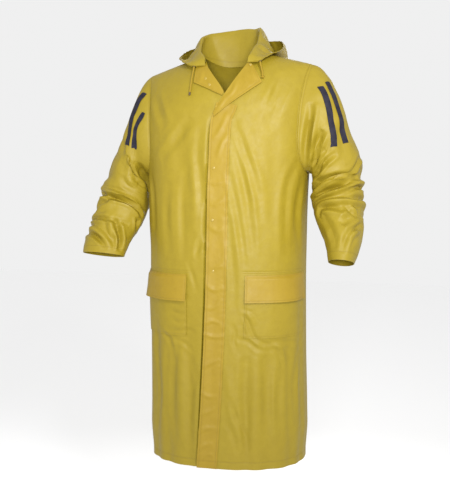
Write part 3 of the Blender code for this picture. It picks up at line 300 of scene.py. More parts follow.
# The hood's drawcord: the two ends that hang free from its channel, x, y, z from the exit down
CORD_RADIUS = 0.0026
CORD_POINTS = 36
CORD_RIGHT = ((-0.0862, -0.0930, -0.0046), (-0.0868, -0.0980, -0.0160), (-0.0873, -0.1055, -0.0290),
              (-0.0876, -0.1130, -0.0420), (-0.0878, -0.1200, -0.0560), (-0.0880, -0.1258, -0.0690),
              (-0.0882, -0.1308, -0.0800))
CORD_LEFT = ((0.1066, -0.0876, 0.0072), (0.1090, -0.0912, -0.0025), (0.1118, -0.0948, -0.0110),
             (0.1146, -0.0985, -0.0190), (0.1168, -0.1022, -0.0270), (0.1184, -0.1060, -0.0350))
KNOT_SIZE = 0.00145       # scale of the trefoil that the knot's cord runs along
KNOT_WIRE = 0.0017        # half thickness of the cord in it
KNOT_OFF = 0.0035         # its middle beyond the cord's last point
EYELET_RADIUS = 0.0040
EYELET_WIRE = 0.0009
EYELET_OUT = 0.0006       # its middle along the cord from the exit
TIP_IN = 0.0005           # how far a tip reaches over the cord's end
TIP_LENGTH = 0.009
TIP_RADIUS = 0.0030
TIP_PROFILE = ((0.86, 0.0), (1.0, 0.06), (1.0, 0.20), (0.90, 0.24), (0.98, 0.30), (1.0, 0.78),
               (0.86, 0.94), (0.6, 1.0))


# ---------------------------------------------------------------- sizes of the look
WALL = 0.0009             # shown wall of one cloth
SEAM_TUCK = 0.00005       # fronts and back meet without a slit
HEM_WALL = 0.0007         # more where a hem is turned in
HEM_TURN = 0.022          # width of the turned hem
BODY_STEP = 0.0048        # step of the body's fine grid
FRONT_WIDTH = 0.36        # widths that the shares of the front and the back are steps of
BACK_WIDTH = 0.37
EXACT = 1e-9              # play in comparing a place with an edge
NEAR = 0.02               # step of small differences, in columns and rows
LINE_POINTS = 14          # points of a drawn crease
HEM_CURL = 0.036          # how much the sides pull in at the hem, as a share of the half width
HEM_CURL_TOP = -1.06
RIPPLES = (0.028, 0.036, 0.046, 0.060, 0.080, 0.105, 0.14)   # lengths of the cloth's ripples
RING_STEPS = 7            # fine steps to each step of an armhole or neckline
HOOD_COLUMNS = 181
SEAM_DIP = 0.0005         # how far a stitch line pulls the cloth in
LAID_DIP = 0.0003         # the same in a piece that lies on another
STITCH_PITCH = 0.0042
STITCH_LENGTH = 0.0031
STITCH_WIDTH = 0.0007
STITCH_LIFT = 0.0001      # middle of a stitch over the cloth
# Half widths of the stitch lines' dips and their places, in rows, columns or keys
ROW_LINE, COL_LINE, FLAP_LINE, SLEEVE_LINE, HOOD_LINE = 0.05, 0.04, 0.10, 0.06, 0.06
OVER_FLAP_ROWS = (FLAP_TOP_ROW - 0.30, FLAP_TOP_ROW - 0.55)   # lines that hold a pocket's flap
OVER_ENDS = (-0.2, 0.1)   # how far those lines pass the pocket's sides
SIDE_INSET = 0.22         # beside the side seams and armholes
FINE_COL = 0.06           # finer columns at a front's outer edge
FINE_ROW = 0.75           # finer rows below the back's neckline
FLAP_INSET = 0.30         # from both edges of the storm flap
POCKET_INSET = 0.13       # from the sides of the pockets and their flaps
LAPEL_LINE = 0.88         # share of the way from a lapel's fold to its edge
CAP_LINE = 0.28           # below the armhole
CUFF_INSET = 0.75         # above the cuff's edge
NECK_LINE = 0.22          # above the hood's seam
GAP_DEPTH = 0.0080        # how far the right front sinks beside the storm flap's free edge
# Where it opens most. Columns: height, spread, how much deeper, how much wider
GAP_OPENINGS = ((-0.83, 0.20, 0.0090, 0.0), (-0.45, 0.07, 0.0080, 0.0030))
GAP_WIDTH = 0.0085
GAP_SLOPE = 0.0065
CUFF_TILT = 0.014         # how far a cuff's front hangs down and its back stands up
RIM_CHANNEL = 0.85        # width of the hood's hem channel, in keys of its section
TAPE_LIFT = 0.0015        # a tape's outer face over the sleeve
TAPE_WALL = 0.0008

YELLOW = (0.268, 0.196, 0.011)
DEEP = (0.200, 0.140, 0.007)
WARM_YELLOW = (0.286, 0.191, 0.011)
WARM_DEEP = (0.215, 0.135, 0.007)
THREAD = (0.25, 0.175, 0.015)
SNAP_YELLOW = (0.32, 0.225, 0.03)
NAVY = (0.010, 0.009, 0.018)
NAVY_LIGHT = (0.024, 0.022, 0.034)
TIP_BROWN = (0.07, 0.045, 0.015)

WORLD = 0.87
FLOOR_COLOUR = (0.97, 0.97, 0.97)
FLOOR_REACH = 6
FLOOR_Z = -1.6
CAMERA_LENS = 66.0
CAMERA_SHIFT = -0.012
CAMERA_TURN = 14.0        # degrees round the coat towards its left, from straight in front
CAMERA_AWAY = 2.75
CAMERA_Z = -0.20
CAMERA_AIM_Z = -0.545
# Columns: name, place, aim, size, power, spread in degrees
LIGHTS = (
    ("key", (1.35, -2.10, 0.85), (0.14, 0.0, -0.32), 0.6, 8.4, 72),
    ("front", (0.55, -2.90, -0.12), (-0.14, 0.0, -0.29), 0.5, 10.8, 68),
    ("back", (-0.20, 1.50, 0.10), (0.0, 0.0, -0.50), 1.2, 9.0, 130),
)


# ---------------------------------------------------------------- creases
# Columns: depth (a trough is positive, a ridge negative) and half width in mm, lean of its
# shoulders, then x and z of each of its points on the front or back in mm
FRONT_CREASES = (
    (3.6, 11, 0.4, -78, -150, -122, -205, -178, -270),
    (2.6, 9, -0.4, -52, -175, -60, -250, -52, -340, -46, -430),
    (-2.6, 10, 0.2, -70, -280, -66, -370, -72, -480),
    (2.4, 8, 0.5, -98, -300, -105, -420, -98, -560),
    (2.2, 9, -0.3, -150, -330, -158, -430, -150, -550),
    (3.4, 9, 0.5, 46, -155, 76, -232, 110, -330, 122, -450),
    (3.4, 8, -0.4, 42, -205, 65, -300, 90, -405, 100, -540),
    (2.8, 7, 0.4, 34, -300, 55, -400, 72, -500, 82, -575),
    (-2.8, 10, 0, 58, -165, 92, -262, 126, -360),
    (2.4, 8, 0.3, 30, -420, 40, -520, 50, -620, 48, -700),
    (4, 13, 0.4, 196, -30, 168, -100, 142, -185),
    (2.8, 9, -0.4, 165, -30, 150, -90, 118, -140),
    (3, 11, -0.3, -212, -70, -190, -125, -165, -175),
    (3.2, 10, 0.5, 222, -270, 196, -340, 188, -440, 192, -560),
    (2.6, 9, -0.4, 226, -320, 214, -420, 218, -540),
    (2.8, 9, 0.4, -228, -300, -212, -370, -205, -480),
    (2.2, 6, 0.5, -40, -470, -56, -520, -60, -560),
    (-2, 6, 0, -32, -500, -46, -532, -75, -556),
    (1.8, 5, 0.4, -88, -560, -70, -610, -60, -650),
    (1.6, 4.5, 0.3, -138, -683, -116, -690, -100, -684),
    (1.8, 4.5, -0.3, -142, -710, -118, -716, -99, -711),
    (2, 4.5, 0.3, -136, -738, -117, -742, -97, -736),
    (2.2, 5, -0.3, -150, -766, -120, -769, -92, -763, -64, -768),
    (2.2, 5, 0.4, -148, -792, -118, -796, -94, -806, -70, -830),
    (2.6, 6, -0.4, -178, -775, -150, -800, -140, -860),
    (3, 8, 0.4, -122, -800, -135, -870, -140, -980, -132, -1120),
    (3.4, 9, -0.5, -86, -830, -82, -930, -88, -1040, -84, -1150),
    (-2.4, 9, 0, -108, -820, -112, -950, -108, -1100),
    (2.8, 8, 0.3, -196, -850, -188, -960, -196, -1080),
    (2, 6, 0.3, -70, -860, -62, -900, -66, -940),
    (2.2, 5, 0.4, 42, -735, 54, -765, 50, -790, 64, -825),
    (2.8, 5, 0.4, 78, -690, 92, -735, 112, -778, 152, -802),
    (-2.4, 5, 0, 72, -700, 92, -712, 112, -738),
    (2.6, 5, -0.3, 56, -780, 90, -790, 120, -812, 160, -816),
    (2.4, 6, 0.4, 120, -800, 160, -790, 205, -796, 230, -815),
    (3, 6, -0.4, 140, -800, 170, -822, 182, -870),
    (3.4, 9, 0.5, 86, -830, 80, -930, 88, -1050, 90, -1150),
    (-2.8, 10, 0, 110, -830, 112, -960, 106, -1110),
    (3, 9, -0.4, 134, -830, 142, -950, 138, -1100),
    (3, 8, 0.4, 182, -850, 176, -960, 184, -1100),
    (2.4, 8, -0.3, 218, -830, 212, -930, 220, -1060),
    (3, 6, 0.5, 36, -950, 58, -1010, 84, -1068, 92, -1120),
    (2, 5, -0.3, 24, -1020, 48, -1070, 60, -1120),
    (-2.2, 8, 0, 28, -860, 40, -950, 46, -1040),
)
BACK_CREASES = (
    (3.6, 12, 0.4, -190, -60, -140, -150, -110, -270),
    (3.6, 12, -0.4, 195, -50, 150, -140, 125, -260),
    (3, 10, 0.3, -215, -280, -180, -340, -165, -450),
    (3, 10, -0.3, 220, -270, 190, -340, 178, -460),
    (2.8, 9, 0.4, -60, -180, -75, -330, -68, -520),
    (2.8, 9, -0.4, 50, -200, 64, -360, 54, -560),
    (-2.6, 11, 0, 0, -240, -10, -420, 4, -640),
    (3, 9, 0.5, -120, -480, -130, -680, -124, -900, -132, -1130),
    (3.4, 10, -0.4, -50, -560, -40, -780, -48, -1140),
    (3.4, 10, 0.4, 56, -620, 66, -840, 58, -1140),
    (3, 9, -0.5, 130, -500, 140, -740, 132, -1120),
    (3, 9, 0.4, -195, -560, -190, -800, -200, -1100),
    (3, 9, -0.4, 200, -580, 194, -820, 204, -1110),
    (-2.4, 9, 0, 12, -780, 18, -960, 10, -1120),
)
# The same for the storm flap alone; its wrinkles only rise off the front
FLAP_CREASES = (
    (-3, 5, 0.2, -30, -110, 0, -122, 30, -118),
    (-2.4, 6, 0.2, 26, -140, 10, -180, -12, -212),
    (-2, 5, 0.2, 30, -196, 12, -226, 0, -262),
    (-1.6, 5, 0, -28, -330, 0, -336, 26, -326),
    (-2, 5, 0, 24, -372, 4, -392, -20, -396),
    (-1.8, 5.5, 0, -26, -455, 0, -470, 22, -462),
    (-2.2, 5, 0, 22, -560, 8, -572, -20, -580),
    (-2.6, 5, 0, -32, -625, -8, -640, 20, -630),
    (-1.8, 4.5, 0, 16, -662, -6, -690, -34, -694),
    (-3.4, 4.5, 0.3, -42, -768, -10, -776, 20, -774),
    (-2.4, 4.5, 0.2, -36, -738, -12, -730, 14, -738),
    (-2.8, 5, 0.2, -40, -868, -14, -852, 10, -842),
    (-2, 4.5, 0.2, -12, -880, 2, -862, 12, -866),
    (-2.2, 5, 0, -50, -940, -24, -954, 4, -950),
    (-2.4, 5, 0, -52, -1010, -26, -1000, -4, -985),
    (-3, 5, 0.2, -58, -1066, -34, -1050, -6, -1046),
    (-2.6, 5, 0.2, -60, -1118, -36, -1100, -10, -1094),
    (-2, 4.5, 0, -40, -1140, -22, -1128, -6, -1132),
)
# On the sleeves. Points are angle round the sleeve from its outer line towards the front and row
LEFT_CREASES = (
    (12.5, 8, 0.3, 166, 1, 144, 1, 118, 1.05, 96, 1.1, 84, 1),
    (10, 8, 0.4, 162, 1.6, 130, 2.1, 106, 2.6, 94, 2.8),
    (7, 8, -0.3, 164, 2.6, 132, 3.3, 106, 3.9, 96, 4.2),
    (8, 6, 0.4, 160, 4.4, 124, 4.9, 96, 5.3, 70, 5.7),
    (6, 6, 0.4, 50, 8.3, 34, 7.7, 14, 7.2, -14, 6.9),
    (8, 7, 0.3, 176, 7.1, 150, 6.8, 122, 6.6, 84, 7.6, 46, 8.5, 20, 8.9),
    (-7.6, 5.5, 0.2, 168, 8.2, 134, 8.4, 104, 8.6, 80, 8.8, 44, 8.4, 6, 8),
    (9.2, 6, 0.5, 160, 9.2, 134, 9.5, 108, 9.7, 82, 9.8, 50, 9.3, 20, 8.9),
    (-5, 6, 0, 146, 10.4, 112, 10.6, 84, 10.7, 58, 10.3, 30, 10),
    (6, 5, 0.4, 54, 10.6, 28, 10, 0, 9.7, -30, 9.6),
    (-6, 6, 0, 30, 9.6, 4, 9.3, -30, 9.2),
    (6, 6, 0.4, 56, 11.6, 28, 11.2, 0, 11, -34, 11),
    (-8.2, 6, 0.2, 172, 11, 112, 11.7, 74, 11.9, 40, 11.9, 2, 11.6, -30, 11.5),
    (8, 7, 0.4, 152, 12.9, 134, 12.1, 110, 12.3, 82, 12.8, 62, 12.9),
    (6, 6, -0.4, 78, 12.2, 62, 12.9, 44, 13.3),
    (-6.2, 6, 0.3, 88, 14.6, 60, 14.1, 40, 13.6, 6, 12.9),
    (5, 7, -0.3, 94, 14.2, 68, 13.5, 50, 13),
    (-5.8, 6, 0.3, 86, 16, 70, 15.1, 48, 14.6, 26, 14.2),
    (4.5, 7, 0.3, 96, 16.4, 84, 15.4, 66, 14.8),
    (3.6, 9, 0, 140, 13, 126, 14.4, 116, 16),
    (4, 12, 0.3, 96, 2.4, 92, 4.2, 98, 6),
    (3.6, 11, -0.3, 58, 3.6, 50, 5.2, 54, 6.8),
    (4, 10, 0.3, 132, 3, 126, 4.6, 130, 6.2),
    (7, 7, 0.3, -160, 8, -120, 8.6, -80, 9.2, -40, 9.4),
    (7, 7, -0.3, -170, 10.2, -130, 10.6, -90, 10.4, -50, 10.8),
    (-5, 8, 0, -160, 9.2, -110, 9.6, -60, 10),
    (6, 7, 0.3, -150, 12.2, -110, 12, -70, 12.8),
    (4.5, 8, 0, -120, 14.6, -90, 14, -50, 14.4),
    (4, 12, 0.3, -60, 2.6, -70, 4.4, -90, 6.2),
)
RIGHT_CREASES = (
    (12, 8, 0.3, 150, 1.4, 162, 2.8, 170, 4.6, 170, 6.8),
    (3.6, 9, -0.3, 164, 4.8, 140, 5.6, 118, 6.2, 98, 6.6),
    (3, 8, 0.4, 84, 7, 92, 7.6, 106, 7.9, 128, 7.5, 146, 7),
    (-4, 9, 0, 98, 6.4, 112, 6.8, 130, 6.6),
    (4, 10, 0.3, 88, 4.6, 84, 5.8, 82, 7),
    (-8, 6, 0.3, 20, 9.6, 48, 10, 88, 10.3, 122, 10.3, 156, 10.9),
    (10, 6.2, 0.4, 26, 10.2, 52, 10.5, 90, 10.9, 124, 10.9, 158, 11.5, 176, 12),
    (7, 7, -0.3, 34, 12, 56, 11.8, 74, 11.4, 88, 11),
    (-4.5, 8, 0.2, 24, 12.6, 48, 12.4, 70, 12.2, 96, 11.8),
    (7, 5, 0.4, -20, 13.2, 12, 13.3, 44, 13.4, 80, 13.6, 112, 13.7, 152, 13.5),
    (-7, 5.5, 0.2, -10, 13.9, 34, 14.3, 68, 14.6, 92, 15, 116, 15.7, 126, 16.4),
    (6, 5, 0.4, 10, 14.6, 48, 14.9, 76, 15.2, 96, 15.7, 110, 16.3),
    (11.5, 5.5, 0.3, 112, 13.6, 134, 14.4, 154, 15.4, 156, 16.6),
    (-5, 6, 0, 96, 13.4, 112, 14.4, 130, 15.2),
    (6, 6, 0.3, 160, 12.2, 172, 12.8, -172, 13.4),
    (4, 10, 0.3, 60, 3, 66, 4.6, 60, 6.2),
    (2, 11, -0.3, 126, 3.2, 122, 4.6, 128, 5.8),
    (7, 7, 0.3, -170, 8.2, -130, 8.8, -80, 9, -40, 9.4),
    (7, 7, -0.3, -160, 10.6, -120, 10.4, -80, 10.8, -30, 11),
    (-5, 8, 0, -150, 9.6, -100, 9.8, -50, 10.2),
    (6, 7, 0.3, -150, 12.6, -110, 12.4, -70, 13, -30, 13),
    (4.5, 8, 0, -120, 14.8, -80, 14.4, -40, 14.6),
    (4, 12, 0.3, -60, 2.6, -72, 4.4, -90, 6.2),
)
# On the hood. Points are place from the wearer's right front end, -1, to the left, 1, and key
HOOD_CREASES = (
    (4, 10, 0.4, -0.66, 3.2, -0.62, 5.4, -0.6, 7.4),
    (3.6, 10, -0.4, -0.48, 2.8, -0.44, 5, -0.4, 7.2),
    (5, 13, 0.3, -0.24, 3, -0.2, 6, -0.16, 9.4),
    (5, 13, -0.3, 0.04, 3.2, 0.02, 6.4, 0.06, 9.8),
    (5, 13, 0.3, 0.3, 3, 0.26, 6, 0.22, 9.6),
    (3.6, 10, 0.4, 0.5, 2.8, 0.46, 5, 0.44, 7.4),
    (4, 10, -0.4, 0.68, 3.2, 0.64, 5.2, 0.62, 7.4),
    (3.4, 10, 0.2, -0.36, 8.2, -0.3, 9.4, -0.32, 10.6),
    (3.4, 10, -0.2, 0.38, 8.2, 0.34, 9.6, 0.36, 10.6),
    (2.6, 7, 0.2, 0.72, 6, 0.76, 8, 0.74, 10),
    (2.6, 7, -0.2, -0.72, 6, -0.76, 8, -0.74, 10),
)
# On the lapels, as on the front
LAPEL_CREASES = (
    (-1.6, 6, 0.2, -70, -10, -58, -30, -62, -52),
    (-1.4, 5, 0.2, -44, -40, -30, -52, -12, -72),
    (-1.8, 6, 0.2, 78, -14, 88, -34, 100, -52),
    (-1.8, 6, 0.2, 68, -30, 72, -52, 86, -70),
    (-1.8, 5, 0.2, 48, -50, 40, -80, 24, -98),
    (-1.4, 5, 0.2, 24, -88, 10, -112, -6, -128),
)


# ---------------------------------------------------------------- helpers
def smooth_table(x, xs, ys):
    """Value at x of a smooth curve through (xs, ys) that never overshoots them."""
    xs, ys = np.asarray(xs, float), np.asarray(ys, float)
    x = np.clip(np.asarray(x, float), xs[0], xs[-1])
    step = np.diff(xs)
    slope = np.diff(ys) / step
    same = slope[1:] * slope[:-1] > 0
    mean = np.where(same, 2 * slope[1:] * slope[:-1] / np.where(same, slope[1:] + slope[:-1], 1), 0)
    grade = np.concatenate([slope[:1], mean, slope[-1:]])
    i = np.clip(np.searchsorted(xs, x, side="right") - 1, 0, len(xs) - 2)
    h = step[i]
    t = (x - xs[i]) / h
    return ((1 + 2 * t) * (1 - t) ** 2 * ys[i] + t * (1 - t) ** 2 * h * grade[i]
            + t * t * (3 - 2 * t) * ys[i + 1] + t * t * (t - 1) * h * grade[i + 1])


def curve_through(points, t):
    """Points at the parameters t (0..len-1) of a Catmull-Rom curve through the given points."""
    points = np.asarray(points, float)
    padded = np.vstack([2 * points[0] - points[1], points, 2 * points[-1] - points[-2]])
    i = np.clip(np.floor(t).astype(int), 0, len(points) - 2)
    f = (np.asarray(t, float) - i)[:, None]
    p0, p1, p2, p3 = padded[i], padded[i + 1], padded[i + 2], padded[i + 3]
    return 0.5 * (2 * p1 + (p2 - p0) * f + (2 * p0 - 5 * p1 + 4 * p2 - p3) * f ** 2
                  + (3 * p1 - p0 - 3 * p2 + p3) * f ** 3)


def ease(t):
    t = np.clip(t, 0.0, 1.0)
    return t * t * (3 - 2 * t)


def unit(v):
    return v / np.maximum(np.linalg.norm(v, axis=-1, keepdims=True), 1e-12)


def nearest(values, place):
    """Index of the value nearest to a place."""
    return int(np.argmin(np.abs(values - place)))


def interp(where, places, values):
    """Every column of the values, interpolated at the given places."""
    return np.stack([np.interp(where, places, column) for column in np.transpose(values)], axis=-1)


def running(points):
    """Length of a line up to each of its points."""
    return np.concatenate([[0], np.cumsum(np.linalg.norm(np.diff(points, axis=0), axis=1))])


def along_line(points, closed):
    """Direction of a line at each of its points, not of unit length."""
    if closed:
        return np.roll(points, -1, axis=0) - np.roll(points, 1, axis=0)
    return np.gradient(points, axis=0)


def grid_normals(points, closed=False):
    """Normals of a grid of points by central differences."""
    return unit(np.cross(along_line(points, closed), np.gradient(points, axis=1)))


def normals_like(points, normals, closed=False):
    """Normals of a grid of points, each turned to the same side as the given one."""
    found = grid_normals(points, closed)
    return found * np.sign(np.sum(found * normals, axis=-1, keepdims=True))


# ---------------------------------------------------------------- the body's surface
def shoulder_line(x):
    """Height of the level shoulder line over x."""
    return NECK_Z + SHOULDER_FALL * (NECK_X - np.sqrt(x * x + SHOULDER_PEAK ** 2))


def ring_at(z):
    """Half width, front depth, back depth and middle x of the body at a height."""
    return [smooth_table(z, BODY_RINGS[::-1, 0], BODY_RINGS[::-1, k]) for k in (1, 2, 3, 4)]


def flap_edge_x(z):
    table = np.array(FLAP_EDGE)[::-1]
    return smooth_table(z, table[:, 0], table[:, 1])


def angle_of(x, half_width, middle):
    share = np.clip(np.abs(x - middle) / half_width, 0, 1)
    return np.sign(x - middle) * np.arcsin(share ** (SQUARENESS / 2))


def across_at(angle):
    """Share of the half width at an angle of the squared cross-section."""
    return np.sign(angle) * np.abs(np.sin(angle)) ** (2 / SQUARENESS)


def depth_at(angle, drop):
    """Share of the depth at an angle and a drop below the shoulder line."""
    top = np.clip(drop / ROOF, 0, 1)
    return np.abs(np.cos(angle)) ** (2 / SQUARENESS) * np.sqrt(np.maximum(0.0, 1 - (1 - top) ** 2))


def tilted(x, level, drop):
    """Height of a point of the level body once its shoulders are tilted."""
    return level + SHOULDER_TILT * x * np.clip(1 - drop / TILT_FADE, 0, 1)


def fold_depth(angle, z, table):
    """Sum of the soft folds at an angle and a height; it dies out at the side seams."""
    degrees = np.degrees(angle)
    total = np.zeros_like(degrees)
    for middle, drift, top, bottom, half, depth in table:
        run = np.clip((top - z) / (top - bottom), 0, 1)
        ends = ease((top - z) / FOLD_END) * ease((z - bottom) / FOLD_END)
        total += depth * ends * np.exp(-((degrees - middle - drift * run) / half) ** 2)
    return total * ease((90.0 - np.abs(degrees)) / FOLD_SIDE_FADE)


def body_surface(angle, x_line, level, facing, folds):
    """Point on the body, under x_line of the shoulder line. facing: -1 front, +1 back."""
    half_width, front, back, middle = ring_at(level)
    drop = np.maximum(shoulder_line(x_line) - level, 0)
    trough = fold_depth(angle, level, folds)
    across = across_at(angle)
    x = middle + half_width * across - trough * np.sin(angle)
    depth = (front if facing < 0 else back) * depth_at(angle, drop)
    y = facing * (depth - trough * np.cos(angle))
    z = tilted(x, level, drop)
    curl = HEM_CURL * ease((HEM_CURL_TOP - level) / (HEM_CURL_TOP - HEM_Z)) * across ** 2
    x, y = middle + (x - middle) * (1 - curl), y * (1 - 2 * curl) - facing * SEAM_TUCK
    return np.stack([x, y, z], axis=-1)


def row_tables(side):
    """Inner x, inner drop, outer drop and armhole share of every row, for one front."""
    inner_x, inner_drop, outer_drop, share = [], [], [], []
    edge_in = LEFT_EDGE_IN if side > 0 else RIGHT_EDGE_IN
    for in_drop, edge, shift, out_drop, arm in UPPER_ROWS:
        if edge is None:
            x = float(flap_edge_x(float(shoulder_line(0.0)) - in_drop)) + edge_in
        else:
            x = side * edge + shift
        inner_x.append(x)
        inner_drop.append(in_drop)
        outer_drop.append(out_drop)
        share.append(arm)
    for z in LOWER_ROWS:
        half_width, _, _, middle = ring_at(z)
        x = float(flap_edge_x(z)) + edge_in
        inner_x.append(x)
        inner_drop.append(float(shoulder_line(x)) - z)
        outer_drop.append(float(shoulder_line(middle + half_width)) - z)
        share.append(0.0)
    return [np.array(t) for t in (inner_x, inner_drop, outer_drop, share)]


ROW_TABLES = {side: row_tables(side) for side in (-1, 1)}


def at_row(row, values, rooted=False):
    """A row table's value at a fractional row; drops are smoothed as square roots."""
    index = np.arange(len(values))
    if rooted:
        return smooth_table(row, index, np.sqrt(values)) ** 2
    return smooth_table(row, index, values)


def outer_edge(side, row):
    """Drop and angle of a panel's outer edge, at the armhole or the side seam."""
    _, _, outer_drop, share = ROW_TABLES[side]
    arm = np.clip(at_row(row, share), 0, 1)
    return at_row(row, outer_drop, rooted=True), side * np.arccos(arm ** (SQUARENESS / 2))


def front_surface(side, col, row):
    """Point of a front at fractional columns and rows. side: +1 wearer's left, -1 right."""
    narrow, step = NARROW[side]
    x_in = at_row(row, ROW_TABLES[side][0])
    level_in = shoulder_line(x_in) - at_row(row, ROW_TABLES[side][1], rooted=True)
    drop_out, angle_far = outer_edge(side, row)
    half_width, _, _, middle = ring_at(level_in)
    angle_near = angle_of(x_in + step * np.minimum(col, narrow), half_width, middle)
    wide = smooth_table(col - narrow, np.arange(len(FRONT_SHARES)), FRONT_SHARES)
    angle = angle_near + (angle_far - angle_near) * wide
    for _ in range(2):
        x, x_out = (middle + half_width * across_at(a) for a in (angle, angle_far))
        rise = shoulder_line(x_out) - shoulder_line(x_in)
        along = np.clip((x - x_in) / (x_out - x_in), 0, 1)
        base = level_in + (shoulder_line(x_out) - drop_out - level_in) * along
        over = shoulder_line(x) - shoulder_line(x_in) - rise * along
        level = base + ease(1 - row / UNDERARM_ROW) * over
        half_width, _, _, middle = ring_at(level)
    point = body_surface(angle, x, level, -1, FRONT_FOLDS)
    if side < 0:
        sink = UNDERLAP_SINK * np.clip(narrow - col, 0, 1) * np.clip((row - V_ROW + 2) / 2, 0, 1)
        point[..., 1] += sink
    return point


def back_surface(side, col, row):
    """Point of the back at columns counted from its middle, on one side."""
    drop_out, angle_far = outer_edge(side, row)
    angle = angle_far * smooth_table(col, np.arange(len(BACK_SHARES)), BACK_SHARES)
    follow = ease(1 - row / UNDERARM_ROW)
    level = shoulder_line(side * BACK_START_X) - drop_out
    for _ in range(3):
        half_width, _, _, middle = ring_at(level)
        x, x_out = (middle + half_width * across_at(a) for a in (angle, angle_far))
        neck = BACK_NECK_DIP * np.clip(1 - (x / NECK_X) ** 2, 0, 1)
        level = shoulder_line(x_out) - drop_out
        level = level + follow * (shoulder_line(x) - shoulder_line(x_out) - neck)
    return body_surface(angle, x, level, 1, BACK_FOLDS)


def surface_normals(surface, side, col, row, last_col, outward):
    """Outward normals by small differences inside the panel."""
    lo_c, hi_c = np.maximum(col - NEAR, -1.0), np.minimum(col + NEAR, last_col)
    lo_r, hi_r = np.maximum(row - NEAR, 0), np.minimum(row + NEAR, LAST_ROW)
    across = surface(side, hi_c, row) - surface(side, lo_c, row)
    down = surface(side, col, hi_r) - surface(side, col, lo_r)
    return unit(np.cross(down, across)) * outward


def front_last_col(side):
    return NARROW[side][0] + len(FRONT_SHARES) - 1


def square_to_seams(normals, mask):
    """Make the wall square to the side and shoulder seams, so that neighbours stay apart."""
    normals[mask] = unit(normals * (1, 0, 1))[mask]


def front_grid(side, cols, rows):
    """Points and outward normals of a front at the given columns and rows."""
    col, row = np.meshgrid(cols, rows, indexing="ij")
    last = front_last_col(side)
    normals = surface_normals(front_surface, side, col, row, last, side)
    square_to_seams(normals, (col >= last - EXACT) & (row >= UNDERARM_ROW - EXACT) | (row <= EXACT))
    return front_surface(side, col, row), normals


def back_grid(cols, rows):
    """Points and outward normals of the whole back, from the wearer's right to the left."""
    last = len(BACK_SHARES) - 1
    col, row = np.meshgrid(cols, rows, indexing="ij")
    seam = (col >= last - EXACT) & (row >= UNDERARM_ROW - EXACT)
    seam |= (row <= EXACT) & (col >= BACK_NECK_SHARE - EXACT)
    parts = []
    for side in (-1, 1):
        normals = surface_normals(back_surface, side, np.maximum(col, NEAR), row, last, -side)
        square_to_seams(normals, seam)
        parts.append((back_surface(side, col, row), normals))
    return [np.concatenate([right[::-1], left[1:]]) for right, left in zip(*parts)]


def locate_all(side, x, z):
    """Columns and rows of a front where it has the given x and z, seen from the front."""
    col, row = np.full(x.shape, 4.0), np.full(x.shape, 8.0)
    top = front_last_col(side)
    for _ in range(25):
        here = front_surface(side, col, row)
        by_col = (front_surface(side, col + 0.05, row) - here) / 0.05
        by_row = (front_surface(side, col, row + 0.05) - here) / 0.05
        off_x, off_z = x - here[..., 0], z - here[..., 2]
        scale = by_col[..., 0] * by_row[..., 2] - by_row[..., 0] * by_col[..., 2]
        move_col = (off_x * by_row[..., 2] - by_row[..., 0] * off_z) / scale
        move_row = (by_col[..., 0] * off_z - off_x * by_col[..., 2]) / scale
        col = np.clip(col + np.clip(move_col, -1.5, 1.5), -1.0, top)
        row = np.clip(row + np.clip(move_row, -1.5, 1.5), 0.05, LAST_ROW)
    return col, row


# ---------------------------------------------------------------- creases and ripples
def drawn(creases, place):
    """Creases with close 3-D lines. place turns each pair of their numbers into a point."""
    made = []
    for depth, width, lean, *line in creases:
        spots = [place(*pair) for pair in zip(line[::2], line[1::2])]
        close = curve_through(spots, np.linspace(0, len(spots) - 1, LINE_POINTS))
        made.append((depth / 1000, width / 1000, lean, close))
    return made


def add_creases(points, normals, creases):
    """Height of the creases over every point. creases: depth, half width, lean, 3-D line."""
    flat, outward = points.reshape(-1, 3), normals.reshape(-1, 3)
    height = np.zeros(len(flat))
    for depth, width, lean, line in creases:
        reach = 4.5 * width
        near = np.all((flat > line.min(0) - reach) & (flat < line.max(0) + reach), axis=1)
        chosen = np.flatnonzero(near)
        if not len(chosen):
            continue
        at = flat[chosen]
        start, run = line[:-1], np.diff(line, axis=0)
        best = np.full(len(chosen), np.inf)
        across, along = np.zeros((2, len(chosen)))
        for k in range(len(run)):
            share = np.clip((at - start[k]) @ run[k] / (run[k] @ run[k]), 0, 1)
            away = at - start[k] - share[:, None] * run[k]
            distance = np.linalg.norm(away, axis=1)
            closer = distance < best
            sideways = np.cross(unit(run[k]), outward[chosen])
            best = np.where(closer, distance, best)
            across = np.where(closer, np.sign(np.sum(away * sideways, axis=1)), across)
            along = np.where(closer, (k + share) / len(run), along)
        t = across * best / width
        core = np.maximum(0.0, 1 - np.sqrt(t * t + 0.02) / (1.9 + 0.8 * lean * np.sign(t)))
        shoulders = sum((0.36 + s * 0.34 * lean)
                        * np.maximum(0.0, 1 - np.sqrt((t - s * 2.3) ** 2 + 0.03) / 1.5)
                        for s in (1, -1))
        ends = np.sqrt(np.clip(4 * along * (1 - along), 0, 1))
        ends = ends * np.clip(1.2 - 0.25 * np.sin(9 * along + 40 * width), 0, 1.3)
        height[chosen] += depth * ends * (shoulders - core)
    return height.reshape(points.shape[:2])


